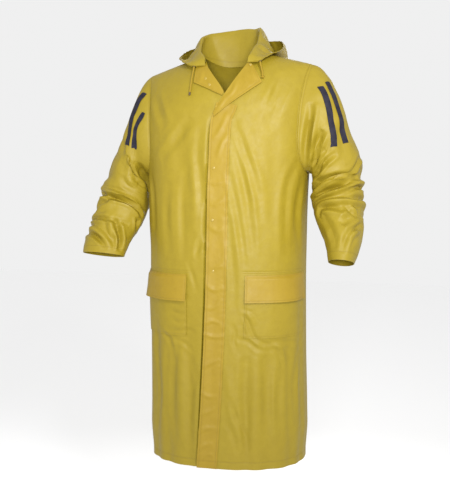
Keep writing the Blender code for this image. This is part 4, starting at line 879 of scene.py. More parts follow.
def ripple(points, stretch, size, seed):
    """Small uneven facets of the crumpled cloth, longer along z by the given stretch."""
    rng = np.random.RandomState(seed)
    total = np.zeros(points.shape[:2])
    scaled = points * np.array([1.0, 1.0, 1.0 / stretch])
    for length in RIPPLES:
        for _ in range(3):
            way, other, third = unit(rng.normal(size=(3, 3)))
            turns = rng.uniform(0, 2 * math.pi, 3)
            bend = np.sin(scaled @ other * 2 * math.pi / (2.3 * length) + turns[1])
            wave = np.sin(scaled @ way * 2 * math.pi / length + turns[0] + 1.1 * bend)
            much = 0.5 + 0.5 * np.sin(scaled @ third * 2 * math.pi / (3.1 * length) + turns[2])
            total += length / 0.09 * much * np.arcsin(0.97 * wave)
    return total * size / 4.0


def laid(facing, creases):
    """Creases given as x, z, laid on the plain body. facing: -1 front, +1 back."""
    def on_body(x, z):
        x, z = x / 1000, z / 1000
        half_width, front, back, middle = ring_at(z)
        drop = shoulder_line(x) - z
        depth = (front if facing < 0 else back) * depth_at(angle_of(x, half_width, middle), drop)
        return np.array([x, facing * depth, tilted(x, z, drop)])

    return drawn(creases, on_body)


BODY_CREASES = laid(-1, FRONT_CREASES) + laid(1, BACK_CREASES)
STORM_CREASES = laid(-1, FLAP_CREASES)
CORNER_CREASES = laid(-1, LAPEL_CREASES)


def relieved(points, normals, fade):
    """Body points moved by the body's creases and ripples."""
    height = add_creases(points, normals, BODY_CREASES) + ripple(points, 4.5, 0.0007, 3)
    return points + normals * (height * fade)[..., None]


def body_fade(col, row, last):
    """Creases die out at the shoulder and armhole seams and weaken at the hem."""
    sides = np.where(row < UNDERARM_ROW, ease((last - col) / 0.8), 1.0)
    return ease(row / 1.5) * sides * (1 - 0.6 * ease((row - LAST_ROW + 1.5) / 1.5))


def relieved_front(side, col, row):
    """A front's plain points and normals, and the same with its creases."""
    last = front_last_col(side)
    points = front_surface(side, col, row)
    normals = surface_normals(front_surface, side, col, row, last, side)
    moved = relieved(points, normals, body_fade(col, row, last))
    return points, normals, moved, normals_like(moved, normals)


# ---------------------------------------------------------------- meshes
def steps(lengths, size, least=2):
    """Fractional places from 0 to the number of spans, each span cut about to the given size."""
    places = [np.linspace(i, i + 1, max(least, int(round(length / size))), endpoint=False)
              for i, length in enumerate(lengths)]
    return np.append(np.concatenate(places), float(len(lengths)))


def with_lines(places, lines, half):
    """The places with each line, and a place at half a line's width on both sides of it."""
    low, high = places[0], places[-1]
    extra = [line + d for line in lines for d in (-half, 0.0, half) if low <= line + d <= high]
    kept = [p for p in places if all(abs(p - e) > half * 0.6 for e in extra)]
    return np.unique(np.concatenate([kept, extra, [low, high]]))


def tents(places, lines, half):
    """Weight of the lines at each place: 1 on a line and 0 at half a line's width from it."""
    weight = np.zeros(len(places))
    for line in lines:
        weight = np.maximum(weight, np.clip(1 - np.abs(places - line) / half, 0, 1))
    return weight


def marked(cols, col_lines, rows, row_lines, col_half=COL_LINE, row_half=ROW_LINE):
    """Weight of a panel's stitch lines over its grid; it pulls the cloth in, and the cloth's
    material paints shade along it.
    """
    return np.maximum(tents(cols, col_lines, col_half)[:, None],
                      tents(rows, row_lines, row_half)[None, :])


LOOKS = {}                # materials by name
MADE = {}                 # pieces by name


def add_object(name, data):
    obj = bpy.data.objects.new(name, data)
    bpy.context.collection.objects.link(obj)
    return obj


def add_piece(name, data, nodes):
    """A piece that rides the coat. It stands in for the given nodes, if there are any."""
    MADE[name] = obj = add_object(name + "_piece" if nodes else name, data)
    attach(obj, "root")
    if nodes:
        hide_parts(*nodes)
    return obj


def add_mesh(name, verts, faces, slot, nodes=(), seam=None, smooth=50, look=None):
    mesh = bpy.data.meshes.new(name)
    mesh.from_pydata(np.asarray(verts).tolist(), [], faces)
    if seam is not None:
        # the seam attribute is the stitch lines' weight, which the cloth's material uses to paint
        # shade along them
        mesh.attributes.new("seam", "FLOAT", "POINT").data.foreach_set("value", seam)
    mesh.materials.append(LOOKS[look or slot])
    mesh.shade_smooth()
    mesh.set_sharp_from_angle(angle=math.radians(smooth))
    return add_piece(name, mesh, nodes)


def add_shell(name, outer, normals, thick, slot, nodes, closed=False, seam=None, look=None):
    """Closed shell between a grid of outer points and the same points moved in by thick."""
    rows, cols = outer.shape[:2]
    inner = outer - normals * np.broadcast_to(thick, (rows, cols))[..., None]
    count = rows * cols
    index = np.arange(count).reshape(rows, cols)
    if closed:
        index = np.vstack([index, index[:1]])
    top = np.stack([index[:-1, :-1], index[:-1, 1:], index[1:, 1:], index[1:, :-1]], -1)
    top = top.reshape(-1, 4)
    one, two, three = (outer.reshape(-1, 3)[top[:, k]] for k in (0, 1, 3))
    facing = np.sum(np.cross(two - one, three - one) * normals.reshape(-1, 3)[top[:, 0]])
    rims = [(index[:-1, 0], index[1:, 0]), (index[1:, -1], index[:-1, -1])]
    if not closed:
        rims += [(index[0, 1:], index[0, :-1]), (index[-1, :-1], index[-1, 1:])]
    quads = [top, top[:, ::-1] + count]
    quads += [np.stack([a, b, b + count, a + count], -1) for a, b in rims]
    quads = np.concatenate(quads)
    if facing < 0:
        quads = quads[:, ::-1]
    if seam is not None:
        seam = np.tile(np.broadcast_to(seam, (rows, cols)).ravel(), 2)
    verts = np.concatenate([outer.reshape(-1, 3), inner.reshape(-1, 3)])
    return add_mesh(name, verts, quads.tolist(), slot, nodes, seam, look=look)


# A stitch: shares of its length, width and height
STITCH = np.array([(-0.5, 0, 0), (-0.3, 1, 0), (-0.3, 0, 1), (-0.3, -1, 0), (-0.3, 0, -1),
                   (0.3, 1, 0), (0.3, 0, 1), (0.3, -1, 0), (0.3, 0, -1), (0.5, 0, 0)])
STITCH_FACES = ((0, 2, 1), (0, 3, 2), (0, 4, 3), (0, 1, 4), (9, 5, 6), (9, 6, 7), (9, 7, 8),
                (9, 8, 5), (1, 2, 6, 5), (2, 3, 7, 6), (3, 4, 8, 7), (4, 1, 5, 8))


def add_stitches(piece, lines, slot):
    """Rows of machine stitches along lines, each given as points and outward normals."""
    verts, faces = [], []
    for points, normals in lines:
        run = running(points)
        count = int(run[-1] / STITCH_PITCH)
        if count < 1:
            continue
        middle = (np.arange(count) + 0.5) * run[-1] / count
        along = unit(interp(middle + 0.001, run, points) - interp(middle - 0.001, run, points))
        up = unit(interp(middle, run, normals))
        side = unit(np.cross(up, along))
        axes = np.stack([along * STITCH_LENGTH, side * STITCH_WIDTH / 2, up * STITCH_WIDTH / 2], 1)
        base = len(verts)
        centre = interp(middle, run, points) + up * STITCH_LIFT
        verts += (centre[:, None] + STITCH @ axes).reshape(-1, 3).tolist()
        for k in range(base, base + len(STITCH) * count, len(STITCH)):
            faces += [tuple(k + i for i in face) for face in STITCH_FACES]
    return add_mesh("stitches_" + piece, verts, faces, slot, look="thread")


def add_tube(name, line, one, two, wire, sides, slot, nodes=()):
    """Tube round a closed line, with two directions square to it at each of its points."""
    roll = (2 * math.pi * np.arange(sides) / sides)[:, None]
    verts = line[:, None] + wire * (one[:, None] * np.cos(roll) + two[:, None] * np.sin(roll))
    faces = []
    for i in range(len(line)):
        low, high = i * sides, (i + 1) % len(line) * sides
        faces += [(low + j, high + j, high + (j + 1) % sides, low + (j + 1) % sides)
                  for j in range(sides)]
    return add_mesh(name, verts.reshape(-1, 3), faces, slot, nodes, smooth=60)


def axes_of(axis):
    """Two directions square to an axis and to each other."""
    helper = (1.0, 0.0, 0.0) if abs(axis[2]) > 0.7 else (0.0, 0.0, 1.0)
    tangent = unit(np.cross(axis, helper))
    return tangent, np.cross(axis, tangent)


# ---------------------------------------------------------------- seams
def leading_off(edge, normal, inside, closed):
    """Direction in the surface that leads off a panel at each point of its edge."""
    leave = unit(np.cross(along_line(edge, closed), normal))
    return leave * np.sign(np.sum(leave * (edge - inside)))


def seam_normals(own, leave):
    """A piece's normals at its seam, turned so that its wall keeps off the panel it joins."""
    lean = np.maximum(np.sum(own * leave, axis=-1, keepdims=True), 0)
    return unit(own - lean * leave)


def armhole_ring(side):
    """The armhole's points, from the shoulder down the front and up the back, and the direction
    that leads off the body there."""
    rows = np.linspace(0, UNDERARM_ROW, UNDERARM_ROW * RING_STEPS + 1)
    last = front_last_col(side)
    front, front_n = front_grid(side, [last - 0.5, last], rows)
    back, back_n = back_grid(np.arange(len(BACK_SHARES)), rows)
    edge, inside = (-1, -2) if side > 0 else (0, 1)
    ring, normal, within = (np.concatenate([a, b[1:-1][::-1]]) for a, b in (
        (front[1], back[edge]), (front_n[1], back_n[edge]), (front[0], back[inside])))
    ring[0, 1] = ring[UNDERARM_ROW * RING_STEPS, 1] = 0.0
    return ring, leading_off(ring, normal, within, closed=True)


def neck_seam():
    """Points and wall directions round the neckline, from the right front end to the left."""
    rows = np.linspace(0, HOOD_ROW, HOOD_ROW * RING_STEPS + 1)
    cols = np.linspace(0, BACK_NECK_SHARE, BACK_NECK_SHARE * RING_STEPS + 1)
    (right, right_n), (left, left_n) = (front_grid(side, [0.0, 0.5], rows) for side in (-1, 1))
    back, back_n = back_grid(cols, [0.0, 0.5])
    edge, normal, inside = (np.concatenate([a[::-1], b[1:-1], c]) for a, b, c in (
        (right[0], back[:, 0], left[0]), (right_n[0], back_n[:, 0], left_n[0]),
        (right[1], back[:, 1], left[1])))
    return edge, leading_off(edge, normal, inside, closed=False)


# ---------------------------------------------------------------- panels
def front_rows():
    """Fine rows of the panels, down to the hem."""
    spans = [max(low[0] - high[0], low[3] - high[3])
             for high, low in zip(UPPER_ROWS, UPPER_ROWS[1:])]
    heights = (shoulder_line(0.0) - UPPER_ROWS[-1][0], *LOWER_ROWS)
    return steps(spans + [high - low for high, low in zip(heights, heights[1:])], BODY_STEP)


def hem_row():
    """Row of the hem's stitch line."""
    return LAST_ROW - HEM_TURN / (LOWER_ROWS[-2] - LOWER_ROWS[-1])


def share_steps(shares, width):
    return [width * (high - low) for low, high in zip(shares, shares[1:])]


def pocket_ends(side):
    """First and last column of a pocket."""
    return [float(NARROW[side][0] + share) for share in POCKET_SHARES]


def gap_beside_flap(points, row):
    """How far the right front sinks beside and under the storm flap's free edge."""
    x, z = points[..., 0], points[..., 2]
    deep, wide = GAP_DEPTH, GAP_WIDTH
    for height, spread, deeper, wider in GAP_OPENINGS:
        near = np.exp(-((z - height) / spread) ** 2)
        deep, wide = deep + deeper * near, wide + wider * near
    return deep * ease((x - flap_edge_x(z) + wide) / GAP_SLOPE) * ease((row - V_ROW - 1) / 2)


def body_panel(name, points, normals, cols, rows, last, seam, sunk=0.0):
    """A front or the back, with creases, stitch lines and turned hem."""
    col, row = np.meshgrid(cols, rows, indexing="ij")
    moved = relieved(points, normals, body_fade(col, row, last))
    moved = moved - normals * np.broadcast_to(sunk, row.shape)[..., None]
    outward = normals_like(moved, normals)
    edge = (row <= EXACT) | (col >= last - EXACT)
    outward[edge] = normals[edge]
    moved = moved - outward * (seam * SEAM_DIP)[..., None]
    add_shell(name, moved, outward, WALL + HEM_WALL * (row > hem_row()), "coated_cloth", (name,),
              seam=seam)
    return moved, outward, cols, rows


def row_line(panel, place, start, end):
    """Points and normals of a fine panel along a row, between two columns."""
    moved, outward, cols, rows = panel
    j, keep = nearest(rows, place), (cols >= start) & (cols <= end)
    return moved[keep, j], outward[keep, j]


def col_line(panel, place, start, end):
    """Points and normals of a fine panel along a column, between two rows."""
    moved, outward, cols, rows = panel
    i, keep = nearest(cols, place), (rows >= start) & (rows <= end)
    return moved[i, keep], outward[i, keep]


def build_fronts_and_back():
    hem = hem_row()
    for side, name in ((1, "front_left"), (-1, "front_right")):
        narrow, step = NARROW[side]
        last = front_last_col(side)
        seam_line = last - SIDE_INSET
        rows = with_lines(front_rows(), [hem, *OVER_FLAP_ROWS], ROW_LINE)
        cols = steps([abs(step)] * narrow + share_steps(FRONT_SHARES, FRONT_WIDTH), BODY_STEP)
        cols = with_lines(cols, [last - FINE_COL, seam_line], COL_LINE)
        points, normals = front_grid(side, cols, rows)
        first, end = np.add(pocket_ends(side), OVER_ENDS)
        over = tents(rows, OVER_FLAP_ROWS, ROW_LINE) * ((cols > first) & (cols < end))[:, None]
        seam = np.maximum(marked(cols, [seam_line], rows, [hem]), over)
        sunk = gap_beside_flap(points, rows[None, :]) if side < 0 else 0.0
        panel = body_panel(name, points, normals, cols, rows, last, seam, sunk)
        lines = [row_line(panel, hem, 0.0, last), col_line(panel, seam_line, 0.6, LAST_ROW)]
        lines += [row_line(panel, row, first, end) for row in OVER_FLAP_ROWS]
        add_stitches(name, lines, "coated_cloth")

    last = len(BACK_SHARES) - 1
    seam_line = last - SIDE_INSET
    rows = with_lines(front_rows(), [hem, FINE_ROW], ROW_LINE)
    cols = with_lines(steps(share_steps(BACK_SHARES, BACK_WIDTH), BODY_STEP), [seam_line], COL_LINE)
    points, normals = back_grid(cols, rows)
    both = np.concatenate([cols[::-1], cols[1:]])
    seam = marked(both, [seam_line], rows, [hem])
    moved, outward, _, _ = body_panel("back", points, normals, both, rows, last, seam)
    i, j = nearest(cols, seam_line), nearest(rows, hem)
    lines = [(moved[:, j], outward[:, j])]
    lines += [(moved[k, 4:], outward[k, 4:]) for k in (len(cols) - 1 - i, len(cols) - 1 + i)]
    add_stitches("back", lines, "coated_cloth")


def lying(side, cols, rows, lift, name, seam, creases=(), swell=0.0, thick=WALL, look=None):
    """A piece that lies on a front: the front's own relieved surface, moved out by lift."""
    col, row = np.meshgrid(cols, rows, indexing="ij") if np.ndim(cols) == 1 else (cols, rows)
    points, normals, moved, outward = relieved_front(side, col, row)
    own = np.maximum(add_creases(points, normals, creases), 0.0) + swell
    moved = moved + outward * (lift + own - seam * LAID_DIP)[..., None]
    facing = normals_like(moved, normals)
    add_shell(name, moved, facing, thick, "coated_cloth_facing", (name,), seam=seam, look=look)
    return moved, facing, cols, rows


def build_storm_flap():
    """The fly stitched along the left front; its free edge stands off a little."""
    top, hem, fine = V_ROW + FLAP_START, hem_row(), front_rows()
    rows = with_lines(np.concatenate([[top], fine[fine > top + 0.05]]), [hem], ROW_LINE)
    lines = [-1 + FLAP_INSET, 2 - FLAP_INSET]
    cols = with_lines(np.linspace(-1, 2, 19), lines, FLAP_LINE)
    col, row = np.meshgrid(cols, rows, indexing="ij")
    free = (0.0010 + 0.0035 * ease((row - 15) / 9.0)) * ease((0.6 - col) / 1.6)
    free = free + 0.0008 * np.sin(row * 1.9 + 0.6) * ease((0.4 - col) / 1.4)
    puckers = 0.0005 * np.sin(row * 11.0 + 2 * np.sin(row * 1.7)) * tents(cols, [2.0], 1.2)[:, None]
    panel = lying(1, cols, rows, LAY_GAP + CLOTH + free, "storm_flap",
                  marked(cols, lines, rows, [hem], FLAP_LINE), STORM_CREASES, puckers, WALL * 1.3)
    lines = [col_line(panel, line, 0, LAST_ROW) for line in lines]
    add_stitches("storm_flap", lines + [row_line(panel, hem, -0.9, 2)], "coated_cloth_facing")


def build_lapel(name, side, fold, edge, base):
    """A turned-out corner, ruled between its fold and its outer edge, with a rolled fold."""
    last = len(fold) - 1
    place = with_lines(np.linspace(0, last, 12 * last + 1), [0.12, last - 0.12], 0.03)
    shares = with_lines(np.linspace(0, 1, 22), [LAPEL_LINE], 0.025)
    near, far = (interp(place, np.arange(last + 1), line) for line in (fold, edge))
    spots = near + (far - near) * shares[:, None, None]
    cols, rows = locate_all(side, spots[..., 0], spots[..., 1])
    share = shares[:, None]
    lift = base + CLOTH + LAPEL_RISE * share ** 1.5 + 0.0006 * np.sin(math.pi * share)
    seam = tents(shares, [LAPEL_LINE], 0.025)[:, None]
    moved, facing, _, _ = lying(side, cols, rows, lift, name, seam, CORNER_CREASES,
                                thick=WALL * 1.2)
    i = nearest(shares, LAPEL_LINE)
    add_stitches(name, [(moved[i], facing[i])], "coated_cloth_facing")


def build_pocket(side, name):
    """A patch pocket, a little full in its middle, and the flap over its mouth."""
    first, last = pocket_ends(side)
    lines = [first + POCKET_INSET, last - POCKET_INSET]
    cols = with_lines(np.linspace(first, last, 50), lines, COL_LINE)
    across = np.clip((cols - first) / (last - first), 0, 1)[:, None]
    full = POCKET_FULLNESS * np.sin(math.pi * across) ** 0.7

    low = POCKET_LOW_ROW - 0.12
    rows = with_lines(np.linspace(MOUTH_ROW, POCKET_LOW_ROW, 46), [low, MOUTH_ROW + 0.6], 0.04)
    down = np.clip((rows - MOUTH_ROW) / (POCKET_LOW_ROW - MOUTH_ROW), 0, 1)
    crimp = 0.0007 * np.sin(rows * 9.0 + 1.3 * np.sin(rows * 2.1)) \
        * (tents(cols, [first], 1.0) + 0.6 * tents(cols, [last], 1.0))[:, None]
    lift = LAY_GAP + CLOTH + full * np.cos(down * math.pi / 2) ** 0.6
    panel = lying(side, cols, rows, lift, "pocket_" + name,
                  marked(cols, lines, rows, [low], row_half=0.04), swell=np.abs(crimp),
                  look="coated_cloth")
    stitched = [col_line(panel, line, 0, low) for line in lines] + [row_line(panel, low, *lines)]
    add_stitches("pocket_" + name, stitched, "coated_cloth_facing")

    ends = [FLAP_TOP_ROW + 0.18, FLAP_LOW_ROW - 0.16]
    rows = with_lines(np.linspace(FLAP_TOP_ROW, FLAP_LOW_ROW, 34), ends, ROW_LINE)
    down = (rows - FLAP_TOP_ROW)[None, :]
    over = ease(down / 0.8) * (LAY_GAP + CLOTH + full)
    flare = FLAP_FLARE * (down / (FLAP_LOW_ROW - FLAP_TOP_ROW)) ** 2
    lift = LAY_GAP + CLOTH + over + flare * (1 + 0.25 * np.cos(across * 9.0 + side))
    panel = lying(side, cols, rows, lift, "pocket_flap_" + name, marked(cols, lines, rows, ends),
                  thick=WALL * 1.3)
    stitched = [row_line(panel, line, *lines) for line in ends]
    stitched += [col_line(panel, line, *ends) for line in lines]
    add_stitches("pocket_flap_" + name, stitched, "coated_cloth_facing")


# ---------------------------------------------------------------- sleeves
def sleeve_surface(side, table, creases, row):
    """Rings of a sleeve at fractional rows; row 0 is the armhole, row 1 the table's first."""
    armhole, leave = armhole_ring(side)
    count = len(armhole)
    top, low = armhole[0], armhole[UNDERARM_ROW * RING_STEPS]
    rows = np.vstack([np.concatenate([top, low, [ARMHOLE_DEPTH]]), table])
    values = np.stack([smooth_table(row, np.arange(len(rows)), column) for column in rows.T], -1)
    outer, inner, deep = values[:, 0:3], values[:, 3:6], values[:, 6]
    centre, reach = (outer + inner) / 2, (outer - inner) / 2
    path = np.gradient(centre, axis=0)
    path[0] = (side, 0, 0)
    depth_axis = unit(np.cross(reach, path)) * side
    angle = 2 * math.pi * np.arange(count) / count
    base, span = (top + low) / 2, (top - low) / 2
    rise = ((armhole - base) @ span) / (span @ span)
    shape = armhole - base - rise[:, None] * span
    bulge = shape * (1, 0, 1)
    points = np.empty((count, len(row), 3))
    for j in range(len(row)):
        blend = ease(row[j] / CAP_ROWS)
        oval_rise = rise * (1 - blend) + np.cos(angle) * blend
        oval_side = -shape[:, 1] / ARMHOLE_DEPTH * (1 - blend) + np.sin(angle) * blend
        points[:, j] = (centre[j] + oval_rise[:, None] * reach[j]
                        - oval_side[:, None] * depth_axis[j] * deep[j]
                        + bulge * (1 - ease(row[j] / CAP_BULGE_ROWS)))
    points[:, 0] = armhole + leave * SEAM_GAP
    degrees = (np.degrees(angle) + 180) % 360 - 180
    push = np.zeros(points.shape[:2])
    for start, drift, middle, half_length, half_width, depth in creases:
        at = start + drift * (np.abs(degrees) / 180.0)
        weight = np.exp(-(((degrees - middle + 180) % 360 - 180) / half_length) ** 4)
        push += depth * weight[:, None] * np.exp(-((row - at[:, None]) / half_width) ** 2)
    push *= ease((row - 1) / CREASE_START_ROWS)
    points = points - side * grid_normals(points, closed=True) * push[..., None]
    normals = side * grid_normals(points, closed=True)
    normals[:, 0] = seam_normals(normals[:, 0], leave)
    return points, normals


def on_grid(points, normals, turn, row):
    """Point and normal of a closed grid's own facets at a fractional column and row."""
    count = len(points)
    i, j = int(math.floor(turn)), int(math.floor(row))
    f, g = turn - i, row - j
    a, b = i % count, (i + 1) % count
    k = min(j + 1, points.shape[1] - 1)
    weights = ((a, j, (1 - f) * (1 - g)), (b, j, f * (1 - g)), (b, k, f * g), (a, k, (1 - f) * g))
    point = sum(points[u, v] * w for u, v, w in weights)
    normal = unit(sum(normals[u, v] * w for u, v, w in weights))
    return point, normal


def build_sleeve(side, name, table, creases, marks):
    """A one-piece sleeve over both its solids; its fine grid goes on to the tapes."""
    count = len(table)
    lines = [CAP_LINE, count - CUFF_INSET]
    rows = with_lines(np.linspace(0, count, count * 11 + 1), lines, SLEEVE_LINE)
    points, normals = sleeve_surface(side, table, creases, rows)
    around = len(points)

    def spot(angle, row):
        place = np.interp(row, rows, np.arange(len(rows)))
        return on_grid(points, normals, angle / 360.0 * around, place)[0]

    height = add_creases(points, normals, drawn(marks, spot))
    height = height + ripple(points, 1.4, 0.0024, 5 + side)
    height = height * ease(rows / 1.6) * (0.35 + 0.65 * ease((count - rows) / 1.2))
    seam = tents(rows, lines, SLEEVE_LINE)[None, :]
    moved = points + normals * (height - seam * SEAM_DIP)[..., None]
    down = unit(np.gradient(points.mean(axis=0), axis=0))
    front = np.sin(2 * math.pi * np.arange(around) / around)
    tilt = CUFF_TILT * front[:, None] * ease((rows - count + 4) / 4)
    moved = moved + down * tilt[..., None]
    outward = normals_like(moved, normals, closed=True)
    outward[:, 0] = normals[:, 0]
    add_shell("sleeve_" + name, moved, outward, WALL + HEM_WALL * (rows > lines[1]), "coated_cloth",
              (f"sleeve_{name}_upper", f"sleeve_{name}_lower"), closed=True, seam=seam)
    rings = [[np.concatenate([grid[:, j], grid[:1, j]]) for grid in (moved, outward)]
             for j in (nearest(rows, line) for line in lines)]
    add_stitches("sleeve_" + name, rings, "coated_cloth")
    return moved, outward, rows


def build_tapes(points, normals, rows, tapes):
    """Two tapes on an upper sleeve, laid on its fine surface."""
    def spot(turn, row):
        return on_grid(points, normals, turn, row)

    place = np.arange(len(rows))
    for name, top_angle, top_row, low_angle, low_row, width in tapes:
        turns = np.array([top_angle, low_angle]) / 360.0 * len(points)
        ends = [spot(turn, np.interp(row, rows, place))[0]
                for turn, row in zip(turns, (top_row, low_row))]
        length = np.linalg.norm(ends[1] - ends[0])
        along = unit(ends[1] - ends[0])
        down = np.linspace(0, 1, max(12, int(length / 0.004)))
        over = np.linspace(-width / 2, width / 2, 9)
        grid, outward = np.empty((2, len(over), len(down), 3))
        for j, share in enumerate(down):
            turn = turns[0] + (turns[1] - turns[0]) * share
            row = np.interp(top_row + (low_row - top_row) * share, rows, place)
            by_turn = (spot(turn + 3, row)[0] - spot(turn - 3, row)[0]) / 6
            by_row = (spot(turn, row + 4)[0] - spot(turn, row - 4)[0]) / 8
            across = unit(np.cross(np.cross(by_turn, by_row), along))
            step = np.linalg.lstsq(np.stack([by_turn, by_row], axis=1), across, rcond=None)[0]
            for i, offset in enumerate(over):
                grid[i, j], outward[i, j] = spot(turn + step[0] * offset, row + step[1] * offset)
        if np.sum(np.cross(grid[-1, 0] - grid[0, 0], grid[0, -1] - grid[0, 0]) * outward[4, 4]) < 0:
            grid, outward = grid[::-1], outward[::-1]
        lift = TAPE_LIFT + np.abs(0.0004 * np.sin(down * length / 0.011))
        add_shell(name, grid + outward * lift[:, None], outward, TAPE_WALL, "tape_cloth", (name,))


# ---------------------------------------------------------------- hood
def hood_grid():
    """Outer points and normals of the hood, round the neck and from its seam to its rim."""
    edge, leave = neck_seam()
    place = running(edge)
    place = place / place[-1] * 2 - 1
    stations, sections = [], []
    for at, shift, *keys in HOOD_SECTIONS:
        for side in (-1, 1):
            stations.append(side * (1 - at))
            sections.append(np.transpose(keys) / 1000 * (side, 1, 1) + (shift / 1000, 0, 0))
    order = np.argsort(stations[:-1])
    stations, sections = np.array(stations)[order], np.array(sections)[order]
    count = sections.shape[1]
    columns = np.linspace(-1, 1, HOOD_COLUMNS)
    keys = with_lines(np.linspace(0, count, count * 9 + 1), [NECK_LINE, count - RIM_CHANNEL],
                      HOOD_LINE)
    spots = [smooth_table(columns, stations, table) for table in sections.reshape(len(order), -1).T]
    spots = np.stack(spots, axis=-1).reshape(len(columns), count, 3)
    spots[..., 2] += SHOULDER_TILT * spots[..., 0]
    spots[..., 2] += ROLL_SHARES * np.interp(columns, ROLL_PLACES, ROLL_RISES)[:, None]
    off = unit(interp(columns, place, leave))
    seam = interp(columns, place, edge) + off * SEAM_GAP
    points = np.stack([curve_through(np.vstack([seam[i], spots[i]]), keys)
                       for i in range(len(columns))])
    normals = -grid_normals(points)
    normals[:, 0] = seam_normals(normals[:, 0], off)
    return points, normals, columns, keys


def build_hood():
    """The hood as one shell: up from the neck seam, over the roll and down into its pouch."""
    points, normals, places, keys = hood_grid()
    creases = drawn(HOOD_CREASES, lambda place, key: points[nearest(places, place),
                                                            nearest(keys, key)])
    inside = ease(np.minimum(1 - np.abs(places), 0.12) / 0.12)[:, None]
    height = add_creases(points, normals, creases) + ripple(points, 1.2, 0.0006, 11)
    height = height * ease(keys / 0.8) * inside
    rim = keys[-1] - RIM_CHANNEL
    channel = np.clip((keys - rim) / RIM_CHANNEL, 0, 1)
    length = running(points[:, -1])
    gather = np.sin(length / 0.0042 + 1.5 * np.sin(length / 0.031))[:, None]
    height = height + inside * (0.0012 * np.sin(math.pi * channel)
                                + 0.0007 * gather * np.clip((keys - rim + 1) / 1.5, 0, 1))
    seam = tents(keys, [NECK_LINE, rim], HOOD_LINE)[None, :]
    moved = points + normals * (height - seam * SEAM_DIP)[..., None]
    outward = normals_like(moved, normals)
    outward[:, 0] = normals[:, 0]
    add_shell("hood", moved, outward, WALL, "coated_cloth", ("hood",), seam=seam)
    lines = [(moved[:, j], outward[:, j]) for j in (nearest(keys, rim), nearest(keys, NECK_LINE))]
    add_stitches("hood", lines, "coated_cloth")


# ---------------------------------------------------------------- small pieces
def turned(name, base, axis, radius, height, profile, sides, slot, nodes=()):
    """Turned piece. profile: shares of its radius and height from its foot to its top."""
    tangent, other = axes_of(axis)
    turns = 2 * math.pi * np.arange(sides) / sides
    spokes = np.cos(turns)[:, None] * tangent + np.sin(turns)[:, None] * other
    verts = np.concatenate([base + spokes * wide * radius + axis * high * height
                            for wide, high in profile])
    top = (len(profile) - 1) * sides
    faces = [tuple(range(sides))[::-1], tuple(range(top, top + sides))]
    for low in range(0, top, sides):
        faces += [(low + i, low + (i + 1) % sides, low + sides + (i + 1) % sides, low + sides + i)
                  for i in range(sides)]
    obj = add_mesh(name, verts, faces, slot, nodes, smooth=40)
    bm = bmesh.new()
    bm.from_mesh(obj.data)
    bmesh.ops.recalc_face_normals(bm, faces=bm.faces)
    bm.to_mesh(obj.data)
    bm.free()
    return obj


def build_snaps():
    for name, side, x, z, lift in SNAPS:
        col, row = locate_all(side, np.array([x]), np.array([z]))
        around = np.linspace(-0.05, 0.05, 3)
        _, _, moved, facing = relieved_front(side, *np.meshgrid(col + around, row + around,
                                                                indexing="ij"))
        axis = facing[1, 1]
        turned(name, moved[1, 1] + axis * (lift - SNAP_SINK), axis, SNAP_RADIUS, SNAP_HEIGHT,
               SNAP_PROFILE, 36, "snap_cap", (name,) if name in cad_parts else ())


def build_cord(name, route, far_end):
    """One free end of the drawcord, its end, and the eyelet that it comes out of."""
    points = curve_through(route, np.linspace(0, len(route) - 1, CORD_POINTS))
    curve = bpy.data.curves.new("drawcord_" + name, "CURVE")
    curve.dimensions = "3D"
    curve.bevel_depth = CORD_RADIUS
    curve.bevel_resolution = 6
    curve.use_fill_caps = True
    spline = curve.splines.new("POLY")
    spline.points.add(len(points) - 1)
    for target, point in zip(spline.points, points):
        target.co = (*point, 1.0)
    curve.materials.append(LOOKS["cord"])
    obj = add_piece("drawcord_" + name, curve, ("drawcord_" + name,))
    axis = unit(points[-1] - points[-2])
    end = "cord_tip_" + name
    if far_end == "knot":
        tip = knot(end, points[-1] + axis * KNOT_OFF, axis)
    else:
        tip = turned(end, points[-1] - axis * TIP_IN, axis, TIP_RADIUS, TIP_LENGTH, TIP_PROFILE, 24,
                     "cord_tip", (end,))
    axis = unit(points[1] - points[0])
    turns = (2 * math.pi * np.arange(28) / 28)[:, None]
    spokes = sum(way * part for way, part in zip(axes_of(axis), (np.cos(turns), np.sin(turns))))
    line = points[0] + axis * EYELET_OUT + spokes * EYELET_RADIUS
    add_tube("eyelet_" + name, line, spokes, axis[None, :], EYELET_WIRE, 10, "cord_tip")


def knot(name, centre, axis):
    """A small overhand knot: a tube round a trefoil."""
    tangent, other = axes_of(axis)
    turn = np.linspace(0, 2 * math.pi, 61)[:-1, None]
    line = centre + KNOT_SIZE * (0.85 * (np.sin(turn) + 2 * np.sin(2 * turn)) * tangent
                                 + 0.85 * (np.cos(turn) - 2 * np.cos(2 * turn)) * other
                                 - 1.1 * np.sin(3 * turn) * axis)
    way = unit(along_line(line, closed=True))
    one = unit(np.cross(way, axis + 0.01 * tangent))
    return add_tube(name, line, one, np.cross(way, one), KNOT_WIRE, 10, "cord", (name,))


